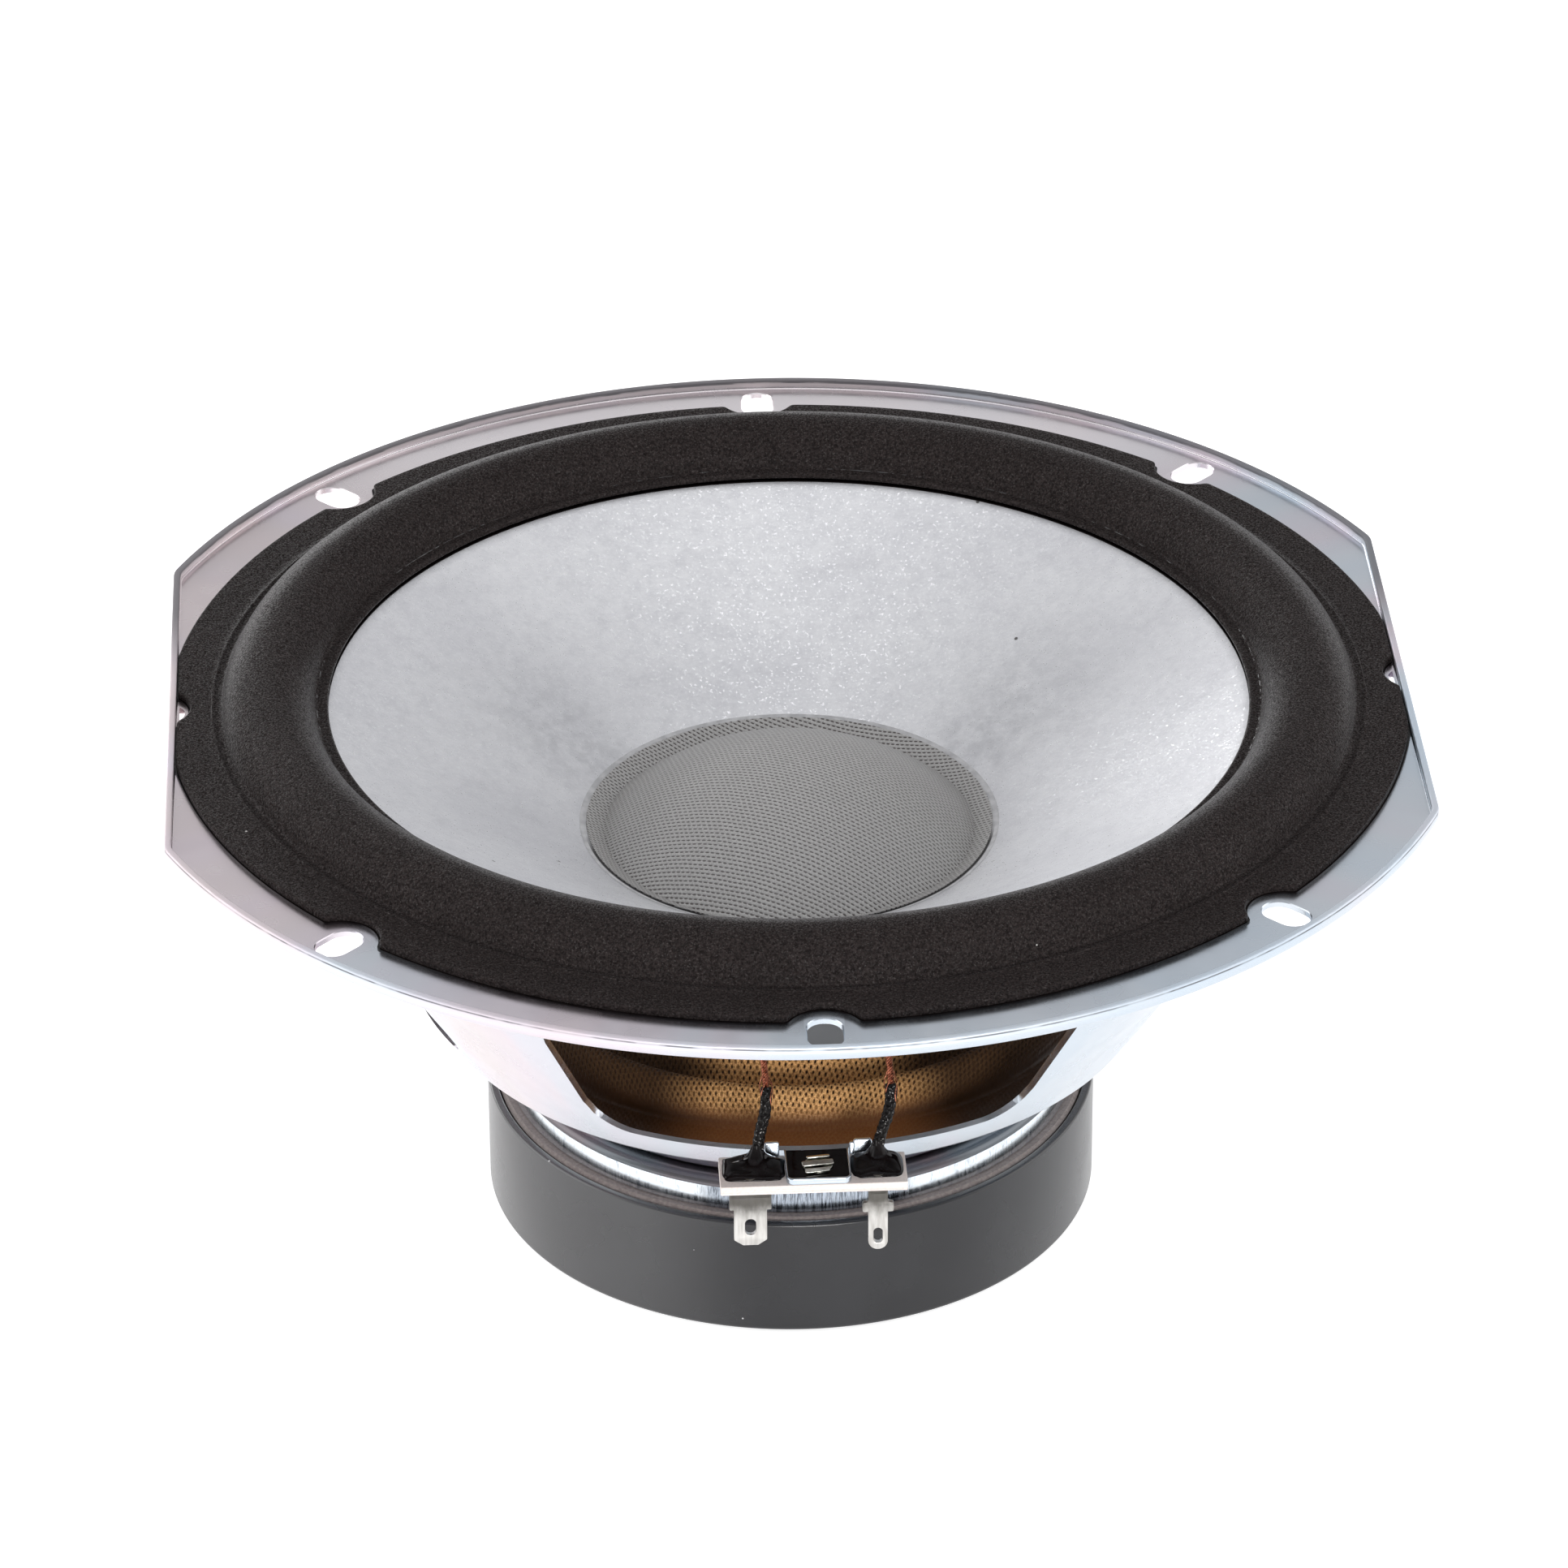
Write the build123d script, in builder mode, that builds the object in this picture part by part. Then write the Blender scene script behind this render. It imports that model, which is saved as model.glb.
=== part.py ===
from build123d import *
import os
from math import asin, atan, cos, pi, radians, sin, sqrt, tan

# Loudspeaker driver with a stamped steel basket. Millimetres.
# The cone's axis is Z and the cone faces +Z. Z = 0 is the underside of the magnet boot.
# The terminals face -Y, and the two flats of the flange face -X and +X.

# Basket
frame_r = 100.0            # round edge of the flange
flat_x = 91.1              # half the width across the flats
flat_corner_r = 1.5        # corner between round edge and flat
sheet = 1.0                # steel thickness
lip_top_z = 83.4
lip_height = 2.5           # lip, over the flange's underside
lip_bend_r = 1.2           # outside of the lip's bend
slot_circle_r = 93.8
slot_count = 8             # the two on the flats are half-moons
slot_width = 5.0
slot_length = 7.5
half_moon_depth = 1.3
wall_foot_r = 53.8         # outside of the conical wall at the spider ledge
wall_foot_z = 34.0
wall_spread = 0.651        # radius gained per millimetre of height
well_top_r = 43.6
well_foot_r = 40.6
well_bends = (1.8, 1.5, 1.6)  # ledge's outside, ledge's inside, and base, on the underside
base_bore_r = 22.0
window_count = 4
window_arc = 64.4          # degrees
window_foot_z = 39.1
window_head_z = 66.5
window_corner_r = 6.0
wall_bend_r = 3.0          # where the wall turns out into the flange

# Terminal tongue and ears, bent out of the foot of the front window
tongue_x = 0.7             # middle of the tongue
tongue_width = 9.3
tongue_corner_r = 1.0
tongue_root_lap = 0.7      # how far its root goes into the wall
tongue_rim = 0.5
tongue_recess = 0.35
ear_width = 2.1
ear_height = 2.6
ear_gap = 0.5
ear_corner_r = 0.7
ear_above_board = 0.2
ear_before_board = 0.9     # from the board's back edge to the ears' back

# Motor
boot_r = 45.9
boot_height = 18.8
boot_wall = 1.3
boot_floor = 1.2
boot_floor_bore_r = 36.0
yoke_r = 42.5
yoke_thickness = 5.0
pole_r = 18.4
pole_above_plate = 0.5
vent_r = 6.0
magnet_r = 44.4
magnet_bore_r = 24.0
magnet_thickness = 12.8
plate_r = 43.0
plate_thickness = 5.0
plate_bore_r = 20.6
rivet_count = 4
rivet_circle_r = 31.5
rivet_r = 2.5
rivet_head_r = 4.0
rivet_head_height = 1.5
rivet_depth = 3.5

# Moving system
former_r = 19.05           # inside of the bobbin
former_wall = 0.25
former_top_z = 56.0
neck_glue_width = 2.0
neck_glue_height = 1.4
spider_glue_width = 1.8
spider_glue_height = 1.2
winding_wall = 0.7
winding_height = 14.0
collar_wall = 0.3
cone_rim_r = 70.3
cone_edge_r = 67.75        # where the cone shows inside the foam lip
cone_edge_z = 81.65
cone_slope = 0.565         # height gained per millimetre of radius
cone_thickness = 0.7
cap_r = 30.2
cap_dome_r = 27.5
cap_dome_height = 10.8
cap_thickness = 0.5
cap_glue_r = 31.3
cap_glue_height = 0.5

# Suspension
foam_thickness = 1.0
foam_r = 91.3
foam_flat_x = 89.9
foam_notch_r = 5.8
foam_notch_corner_r = 1.0
foam_glue_thickness = 0.2
foam_glue_margin = 0.3     # glue pressed out past the foam's edge
roll_outer_r = 82.9
roll_inner_r = 70.1
roll_height = 5.5          # middle of the foam, over the flat
foam_lip_r = 67.75
spider_thickness = 0.6
spider_r = 51.5
spider_landing_r = 46.3
spider_crests = (43.0, 34.2, 25.6)
spider_troughs = (38.6, 29.8)
spider_high_z = 41.4
spider_low_z = 36.6
spider_neck_r = 19.95
spider_neck_width = 2.85
spider_neck_z = 38.6
spider_fold_r = 1.5

# Terminals
board_length = 26.8
board_depth = 8.0
board_thickness = 1.4
board_top_z = 38.4
board_back_y = -57.2
eyelet_r = 1.55            # board's eyelet, under the tongue
eyelet_bore_r = 1.0
eyelet_head_r = 2.5
eyelet_head_height = 0.7
eyelet_foot_r = 2.6
eyelet_flange = 0.4        # thickness of an eyelet's flat flange
eyelet_slack = 0.05        # round an eyelet, in its hole
tab_eyelet_r = 0.9
tab_eyelet_flange_r = 1.6
tab_eyelet_setback = 3.0   # from the board's front edge
tab_x = 9.15
tab_thickness = 0.8
tab_inset = 0.3            # from the board's front edge to the tab's face
tab_edge_gap = 0.2
tab_foot_end = 1.9         # from the eyelet's middle to the end of the tab's foot
tab_bend_r = 0.7
wide_tab_width = 4.75
wide_tip_z = 28.2
wide_tip_chamfer = (1.3, 0.9)
wide_shoulder_width = 6.05
wide_shoulder_z = 34.2     # where the shoulders' undersides are
wide_hole_z = 31.3
wide_hole = (2.7, 1.6)     # length and width
narrow_tab_width = 2.8
narrow_tip_z = 26.8
narrow_shoulder_width = 4.5
narrow_shoulder_z = 34.0   # middle of the shoulders
narrow_shoulder_height = 1.6
narrow_corner_r = 0.35
narrow_hole_z = 29.2
narrow_hole = (2.5, 1.3)
glue_height = 1.5
glue_round_r = 1.0
glue_width = 5.8
glue_forward = 0.3         # from the board's middle towards its back edge
flare_foot_r = 2.2         # glue drawn up round the sleeve
flare_top_r = 1.3
flare_height = 3.2
flare_foot_height = 1.0
lead_r = 0.5
lead_above_board = 0.8
sleeve_r = 0.9
sleeve_bore_r = 0.6
sleeve_pocket_gap = 0.35
joint_r = 48.0             # where the leads meet the cone's back
joint_x = 8.7
joint_glue_r = 2.2
joint_glue_height = 1.2
lead_out_r = 0.3
skin_gap = 0.05            # between two thin layers on the same body
moving_gap = 0.3           # left between fixed and moving pieces

flange_z = lip_top_z - lip_height
flange_top_z = flange_z + sheet
magnet_z = boot_floor + yoke_thickness
plate_z = magnet_z + magnet_thickness
base_z = plate_z + plate_thickness
lip_inner_x = flat_x - sheet
collar_r = former_r + former_wall + collar_wall
cone_fall = atan(cone_slope)
board_y = board_back_y - board_depth / 2
board_z = board_top_z - board_thickness
board_front_y = board_back_y - board_depth

os.makedirs("parts", exist_ok=True)


def save(piece, node):
    piece.part.label = node
    export_step(piece.part, f"parts/{node}.step")


def wall_r(z):
    """Outside radius of the basket's wall at height z."""
    return wall_foot_r + (z - wall_foot_z) * wall_spread


def cone_z(r):
    """Height of the cone's front face at radius r."""
    return cone_edge_z - (cone_edge_r - r) * cone_slope


# ---------------------------------------------------------------- motor

with BuildPart() as magnet_boot:
    with BuildSketch(Plane.XZ) as boot_section:
        with BuildLine():
            Polyline(
                (boot_floor_bore_r, 0),
                (boot_r, 0),
                (boot_r, boot_height),
                (boot_r - boot_wall, boot_height),
                (boot_r - boot_wall, boot_floor),
                (boot_floor_bore_r, boot_floor),
                close=True,
            )
        make_face()
        fillet(boot_section.vertices().sort_by_distance((boot_r, 0))[0], 0.8)
        fillet(boot_section.vertices().sort_by_distance((boot_r, boot_height))[0], 0.4)
    revolve(axis=Axis.Z)
save(magnet_boot, "magnet_boot")

with BuildPart() as t_yoke:
    with BuildSketch(Plane.XY.offset(boot_floor)):
        Circle(yoke_r)
    extrude(amount=yoke_thickness)
    with BuildSketch(Plane.XY.offset(magnet_z)):
        Circle(pole_r)
    extrude(amount=magnet_thickness + plate_thickness + pole_above_plate)
    chamfer(t_yoke.faces().sort_by(Axis.Z)[-1].edges(), 0.6)
    with BuildSketch(Plane.XY.offset(boot_floor)):
        Circle(vent_r)
    extrude(amount=base_z, mode=Mode.SUBTRACT)
    chamfer(t_yoke.faces().sort_by(Axis.Z)[0].inner_wires().edges(), 1.0)
save(t_yoke, "t_yoke")

with BuildPart() as magnet:
    with BuildSketch(Plane.XY.offset(magnet_z)):
        Circle(magnet_r)
        Circle(magnet_bore_r, mode=Mode.SUBTRACT)
    extrude(amount=magnet_thickness)
    chamfer(magnet.edges().filter_by(GeomType.CIRCLE).sort_by(SortBy.RADIUS)[-2:], 0.5)
save(magnet, "magnet")

with BuildPart() as top_plate:
    with BuildSketch(Plane.XY.offset(plate_z)):
        Circle(plate_r)
        Circle(plate_bore_r, mode=Mode.SUBTRACT)
    extrude(amount=plate_thickness)
    fillet(top_plate.faces().sort_by(Axis.Z)[-1].outer_wire().edges(), 1.0)
    with BuildSketch(Plane.XY.offset(base_z)):
        with PolarLocations(rivet_circle_r, rivet_count, start_angle=45):
            Circle(rivet_r)
    extrude(amount=-rivet_depth, mode=Mode.SUBTRACT)
save(top_plate, "top_plate")

with BuildPart() as plate_rivets:
    with BuildSketch(Plane.XY.offset(base_z - rivet_depth)):
        with PolarLocations(rivet_circle_r, rivet_count, start_angle=45):
            Circle(rivet_r)
    extrude(amount=rivet_depth + sheet)
    with BuildSketch(Plane.XY.offset(base_z + sheet)):
        with PolarLocations(rivet_circle_r, rivet_count, start_angle=45):
            Circle(rivet_head_r)
    extrude(amount=rivet_head_height)
    fillet(plate_rivets.faces().filter_by(Axis.Z).group_by(Axis.Z)[-1].edges(), 1.0)
save(plate_rivets, "plate_rivets")

# ---------------------------------------------------------------- basket

window_plane = Plane(
    origin=(0, 0, 0),
    x_dir=(cos(radians(-90 - window_arc / 2)), sin(radians(-90 - window_arc / 2)), 0),
    z_dir=(sin(radians(-90 - window_arc / 2)), -cos(radians(-90 - window_arc / 2)), 0),
)
with BuildPart() as window_cutter:
    with BuildSketch(window_plane):
        with BuildLine():
            Polyline(
                (wall_r(window_foot_z) - 8, window_foot_z),
                (frame_r, window_foot_z),
                (frame_r, window_head_z),
                (wall_r(window_foot_z) - 8, window_head_z),
                close=True,
            )
        make_face()
    revolve(axis=Axis.Z, revolution_arc=window_arc)
    radial_edges = window_cutter.edges().filter_by(GeomType.LINE).filter_by(Axis.Z, reverse=True)
    fillet(radial_edges, window_corner_r)

with BuildPart() as basket:
    with BuildSketch(Plane.XY.offset(flange_z)) as flange_outline:
        Circle(frame_r)
        Rectangle(2 * flat_x, 2 * frame_r, mode=Mode.INTERSECT)
        fillet(flange_outline.vertices(), flat_corner_r)
    extrude(amount=lip_height)
    fillet(basket.faces().sort_by(Axis.Z)[0].edges(), lip_bend_r)
    with BuildSketch(Plane.XY.offset(flange_top_z)) as flange_floor:
        Circle(frame_r - sheet)
        Rectangle(2 * lip_inner_x, 2 * frame_r, mode=Mode.INTERSECT)
    extrude(amount=lip_height, mode=Mode.SUBTRACT)
    with BuildSketch(Plane.XY.offset(flange_z)):
        Circle(wall_r(flange_z) + wall_bend_r)
    extrude(amount=sheet, mode=Mode.SUBTRACT)
    # Conical wall, spider ledge, well and base: one sheet, bent along this underside
    with BuildSketch(Plane.XZ):
        with BuildLine():
            FilletPolyline(
                (wall_r(flange_z) + wall_bend_r + 2, flange_z),
                (wall_r(flange_z), flange_z),
                (wall_foot_r, wall_foot_z),
                (well_top_r, wall_foot_z),
                (well_foot_r, base_z),
                (base_bore_r, base_z),
                radius=[wall_bend_r, *well_bends],
            )
            offset(amount=sheet, side=Side.RIGHT)
        make_face()
    revolve(axis=Axis.Z)
    with PolarLocations(0, window_count):
        add(window_cutter.part, mode=Mode.SUBTRACT)
    with BuildSketch(Plane.XY.offset(flange_z)):
        with PolarLocations(slot_circle_r, slot_count, start_angle=-90):
            SlotOverall(slot_length, slot_width)
        Rectangle(2 * (lip_inner_x - slot_width), 2 * frame_r, mode=Mode.INTERSECT)
    extrude(amount=sheet, mode=Mode.SUBTRACT)
    with BuildSketch(Plane.XY.offset(flange_z)):
        with Locations(
            (lip_inner_x - half_moon_depth + slot_width / 2, 0),
            (-lip_inner_x + half_moon_depth - slot_width / 2, 0),
        ):
            Circle(slot_width / 2)
        Rectangle(2 * lip_inner_x, slot_width, mode=Mode.INTERSECT)
    extrude(amount=sheet, mode=Mode.SUBTRACT)
    with BuildSketch(Plane.XY.offset(base_z)):
        with PolarLocations(rivet_circle_r, rivet_count, start_angle=45):
            Circle(rivet_r)
    extrude(amount=sheet, mode=Mode.SUBTRACT)
    # Tongue over the terminal board, with a raised rim, and the ear on each side of it
    tongue_root_r = wall_r(board_top_z) - tongue_root_lap
    tongue_root_y = -sqrt(tongue_root_r**2 - (tongue_width / 2) ** 2)
    with BuildSketch(Plane.XY.offset(board_top_z)) as tongue_outline:
        with Locations((tongue_x, (tongue_root_y + board_front_y) / 2)):
            Rectangle(tongue_width, tongue_root_y - board_front_y)
        fillet(tongue_outline.vertices().group_by(Axis.Y)[0], tongue_corner_r)
    extrude(amount=sheet)
    with BuildSketch(Plane.XY.offset(board_top_z + sheet)):
        with Locations((tongue_x, board_y)):
            RectangleRounded(
                tongue_width - 2 * tongue_rim,
                board_depth - 2 * tongue_rim,
                tongue_corner_r - tongue_rim,
            )
    extrude(amount=-tongue_recess, mode=Mode.SUBTRACT)
    with BuildSketch(Plane.XZ.offset(-board_back_y - ear_before_board)):
        for side in (-1, 1):
            ear_x = tongue_x + side * (tongue_width / 2 + ear_gap + ear_width / 2)
            with Locations((ear_x, board_top_z + ear_above_board + ear_height / 2)):
                RectangleRounded(ear_width, ear_height, ear_corner_r)
    extrude(amount=sheet)
    with BuildSketch(Plane.XY.offset(board_top_z)):
        with Locations((tongue_x, board_y)):
            Circle(eyelet_r + eyelet_slack)
    extrude(amount=sheet, mode=Mode.SUBTRACT)
save(basket, "basket")

# ---------------------------------------------------------------- surround


def foam_outline(margin):
    """Outer edge of the foam, trimmed at the flats and notched round the slots, grown by margin."""
    with BuildSketch() as outline:
        Circle(foam_r + margin)
        Rectangle(2 * (foam_flat_x + margin / 2), 2 * frame_r, mode=Mode.INTERSECT)
        with PolarLocations(slot_circle_r, slot_count):
            Circle(foam_notch_r - margin, mode=Mode.SUBTRACT)
        fillet(outline.vertices(), foam_notch_corner_r)
    return outline.sketch


flange_flat_r = wall_r(flange_z) + wall_bend_r * tan((pi / 2 - atan(wall_spread)) / 2)
foam_edge = foam_outline(0)
foam_glue_edge = foam_outline(foam_glue_margin)

with BuildPart() as surround_adhesive:
    with BuildSketch(Plane.XY.offset(flange_top_z)):
        add(foam_glue_edge)
        Circle(flange_flat_r, mode=Mode.SUBTRACT)
    extrude(amount=foam_glue_thickness)
save(surround_adhesive, "surround_adhesive")

foam_z = flange_top_z + foam_glue_thickness
foam_mid_z = foam_z + foam_thickness / 2
with BuildPart() as surround:
    with BuildSketch(Plane.XY.offset(foam_z)):
        add(foam_edge)
        Circle(roll_outer_r + foam_thickness, mode=Mode.SUBTRACT)
    extrude(amount=foam_thickness)
    with BuildSketch(Plane.XZ):
        with BuildLine():
            Line((roll_outer_r + 1.5 * foam_thickness, foam_mid_z), (roll_outer_r, foam_mid_z))
            ThreePointArc(
                (roll_outer_r, foam_mid_z),
                ((roll_outer_r + roll_inner_r) / 2, foam_mid_z + roll_height),
                (roll_inner_r, foam_mid_z),
            )
            Line((roll_inner_r, foam_mid_z), (foam_lip_r + foam_thickness / 2, foam_mid_z))
            offset(amount=foam_thickness / 2, side=Side.BOTH)
        make_face()
    revolve(axis=Axis.Z)
save(surround, "surround")

# ---------------------------------------------------------------- spider

spider_half = spider_thickness / 2
spider_landing_z = wall_foot_z + sheet + spider_half
spider_folds = [
    (spider_r - spider_half, spider_landing_z),
    (spider_landing_r, spider_landing_z),
    (spider_crests[0], spider_high_z),
    (spider_troughs[0], spider_low_z),
    (spider_crests[1], spider_high_z),
    (spider_troughs[1], spider_low_z),
    (spider_crests[2], spider_high_z),
    (spider_neck_r + spider_neck_width, spider_neck_z),
    (spider_neck_r + spider_half, spider_neck_z),
]
with BuildPart() as spider:
    with BuildSketch(Plane.XZ):
        with BuildLine():
            FilletPolyline(*spider_folds, radius=spider_fold_r)
            offset(amount=spider_half, side=Side.BOTH)
        make_face()
    revolve(axis=Axis.Z)
save(spider, "spider")

# ---------------------------------------------------------------- moving system

cone_drop = cone_thickness / cos(cone_fall)
with BuildPart() as cone:
    with BuildSketch(Plane.XZ):
        with BuildLine():
            Polyline(
                (cone_rim_r, cone_edge_z),
                (cone_edge_r, cone_edge_z),
                (collar_r, cone_z(collar_r)),
                (collar_r, cone_z(collar_r) - cone_drop),
                (cone_edge_r, cone_edge_z - cone_drop),
                (cone_rim_r, cone_edge_z - cone_drop),
                close=True,
            )
        make_face()
    revolve(axis=Axis.Z)
save(cone, "cone")

with BuildPart() as cone_edge_adhesive:
    with BuildSketch(Plane.XY.offset(cone_edge_z)):
        Circle(cone_rim_r)
        Circle(cone_edge_r + skin_gap, mode=Mode.SUBTRACT)
    extrude(amount=foam_z - moving_gap - cone_edge_z)
save(cone_edge_adhesive, "cone_edge_adhesive")

# The dome is part of a ball, and its skirt lies along the cone
cap_ball_r = (cap_dome_r**2 + cap_dome_height**2) / (2 * cap_dome_height)
cap_skirt_z = cone_z(cap_dome_r) + 2 * skin_gap
cap_skirt_rise = (cap_r - cap_dome_r) * cone_slope
cap_ball_z = cap_skirt_z + cap_thickness + cap_dome_height - cap_ball_r
dome_half_angle = asin(cap_dome_r / cap_ball_r)
inner_ball_r = cap_ball_r - cap_thickness
inner_foot_r = inner_ball_r * sin(dome_half_angle)
with BuildPart() as dust_cap:
    with BuildSketch(Plane.XZ):
        with BuildLine():
            Line(
                (cap_r, cap_skirt_z + cap_skirt_rise + cap_thickness),
                (cap_dome_r, cap_skirt_z + cap_thickness),
            )
            ThreePointArc(
                (cap_dome_r, cap_skirt_z + cap_thickness),
                (
                    cap_ball_r * sin(dome_half_angle / 2),
                    cap_ball_z + cap_ball_r * cos(dome_half_angle / 2),
                ),
                (0, cap_ball_z + cap_ball_r),
            )
            Line((0, cap_ball_z + cap_ball_r), (0, cap_ball_z + inner_ball_r))
            ThreePointArc(
                (0, cap_ball_z + inner_ball_r),
                (
                    inner_ball_r * sin(dome_half_angle / 2),
                    cap_ball_z + inner_ball_r * cos(dome_half_angle / 2),
                ),
                (inner_foot_r, cap_ball_z + inner_ball_r * cos(dome_half_angle)),
            )
            Line(
                (inner_foot_r, cap_ball_z + inner_ball_r * cos(dome_half_angle)),
                (cap_dome_r, cap_skirt_z),
            )
            Line((cap_dome_r, cap_skirt_z), (cap_r, cap_skirt_z + cap_skirt_rise))
            Line(
                (cap_r, cap_skirt_z + cap_skirt_rise),
                (cap_r, cap_skirt_z + cap_skirt_rise + cap_thickness),
            )
        make_face()
    revolve(axis=Axis.Z)
save(dust_cap, "dust_cap")

with BuildPart() as dust_cap_adhesive:
    with BuildSketch(Plane.XZ):
        with BuildLine():
            Polyline(
                (cap_r + skin_gap, cone_z(cap_r) + 2 * skin_gap),
                (cap_glue_r, cone_z(cap_glue_r) + skin_gap),
                (cap_r + skin_gap, cone_z(cap_r) + 2 * skin_gap + cap_glue_height),
                close=True,
            )
        make_face()
    revolve(axis=Axis.Z)
save(dust_cap_adhesive, "dust_cap_adhesive")

winding_z = plate_z + plate_thickness / 2 - winding_height / 2
with BuildPart() as coil_former:
    with BuildSketch(Plane.XY.offset(winding_z)):
        Circle(former_r + former_wall)
        Circle(former_r, mode=Mode.SUBTRACT)
    extrude(amount=former_top_z - winding_z)
save(coil_former, "coil_former")

with BuildPart() as coil_winding:
    with BuildSketch(Plane.XY.offset(winding_z)):
        Circle(former_r + former_wall + winding_wall)
        Circle(former_r + former_wall, mode=Mode.SUBTRACT)
    extrude(amount=winding_height)
save(coil_winding, "coil_winding")

with BuildPart() as coil_collar:
    with BuildSketch(Plane.XY.offset(winding_z + winding_height)):
        Circle(collar_r)
        Circle(former_r + former_wall, mode=Mode.SUBTRACT)
    extrude(amount=former_top_z - winding_z - winding_height)
save(coil_collar, "coil_collar")

with BuildPart() as cone_neck_adhesive:
    with BuildSketch(Plane.XZ):
        with BuildLine():
            Polyline(
                (collar_r, cone_z(collar_r)),
                (collar_r + neck_glue_width, cone_z(collar_r + neck_glue_width)),
                (collar_r, cone_z(collar_r) + neck_glue_height),
                close=True,
            )
        make_face()
    revolve(axis=Axis.Z)
save(cone_neck_adhesive, "cone_neck_adhesive")

spider_glue_z = spider_neck_z + spider_half + moving_gap
with BuildPart() as spider_adhesive:
    with BuildSketch(Plane.XZ):
        with BuildLine():
            Polyline(
                (collar_r, spider_glue_z),
                (collar_r + spider_glue_width, spider_glue_z),
                (collar_r, spider_glue_z + spider_glue_height),
                close=True,
            )
        make_face()
    revolve(axis=Axis.Z)
save(spider_adhesive, "spider_adhesive")

# ---------------------------------------------------------------- terminals

tab_eyelet_y = board_front_y + tab_eyelet_setback
tab_places = [(-tab_x, tab_eyelet_y), (tab_x, tab_eyelet_y)]

with BuildPart() as terminal_board:
    with BuildSketch(Plane.XY.offset(board_z)):
        with Locations((0, board_y)):
            Rectangle(board_length, board_depth)
        with Locations((tongue_x, board_y)):
            Circle(eyelet_r + eyelet_slack, mode=Mode.SUBTRACT)
        with Locations(*tab_places):
            Circle(tab_eyelet_r + eyelet_slack, mode=Mode.SUBTRACT)
    extrude(amount=board_thickness)
    chamfer(terminal_board.edges().filter_by(Axis.Z), 0.3)
save(terminal_board, "terminal_board")

# Hollow eyelet: rolled head in the tongue's recess, flat flange under the board
eyelet_head_z = board_top_z + sheet - tongue_recess
with BuildPart() as board_eyelet:
    with BuildSketch(Plane.XY.offset(board_z - eyelet_flange)):
        with Locations((tongue_x, board_y)):
            Circle(eyelet_foot_r)
    extrude(amount=eyelet_flange)
    with BuildSketch(Plane.XY.offset(board_z)):
        with Locations((tongue_x, board_y)):
            Circle(eyelet_r)
    extrude(amount=eyelet_head_z - board_z)
    with BuildSketch(Plane.XY.offset(eyelet_head_z)):
        with Locations((tongue_x, board_y)):
            Circle(eyelet_head_r)
    extrude(amount=eyelet_head_height)
    fillet(board_eyelet.faces().sort_by(Axis.Z)[-1].edges(), 0.5)
    with BuildSketch(Plane.XY.offset(board_z - eyelet_flange)):
        with Locations((tongue_x, board_y)):
            Circle(eyelet_bore_r)
    extrude(amount=eyelet_head_z + eyelet_head_height - board_z + eyelet_flange, mode=Mode.SUBTRACT)
save(board_eyelet, "board_eyelet")

# Each tab lies against the board's underside and turns down at its front edge
tab_foot_z = board_z - tab_thickness
tab_face_y = board_front_y + tab_inset
tab_foot_y = tab_eyelet_y + tab_foot_end
foot_plane = Plane.XY.offset(tab_foot_z)
blade_plane = Plane.XZ.offset(-tab_face_y - tab_thickness)
with BuildPart() as wide_tab:
    with BuildSketch(foot_plane):
        with Locations((-tab_x, (tab_foot_y + tab_face_y) / 2)):
            Rectangle(wide_shoulder_width, tab_foot_y - tab_face_y)
    extrude(amount=tab_thickness)
    with BuildSketch(blade_plane) as wide_blade:
        with Locations((-tab_x, (wide_shoulder_z + board_z) / 2)):
            Rectangle(wide_shoulder_width, board_z - wide_shoulder_z)
        with Locations((-tab_x, (wide_tip_z + wide_shoulder_z) / 2)):
            Rectangle(wide_tab_width, wide_shoulder_z - wide_tip_z)
        chamfer(wide_blade.vertices().group_by(Axis.Y)[0], *wide_tip_chamfer)
        with Locations((-tab_x, wide_hole_z)):
            SlotOverall(*wide_hole, rotation=90, mode=Mode.SUBTRACT)
    extrude(amount=tab_thickness)
    fillet(wide_tab.edges().filter_by(Axis.X).group_by(Axis.Y)[0].sort_by(Axis.Z)[-1], tab_bend_r)
    with BuildSketch(foot_plane):
        with Locations(tab_places[0]):
            Circle(tab_eyelet_r + eyelet_slack)
    extrude(amount=tab_thickness, mode=Mode.SUBTRACT)
save(wide_tab, "wide_tab")

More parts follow.
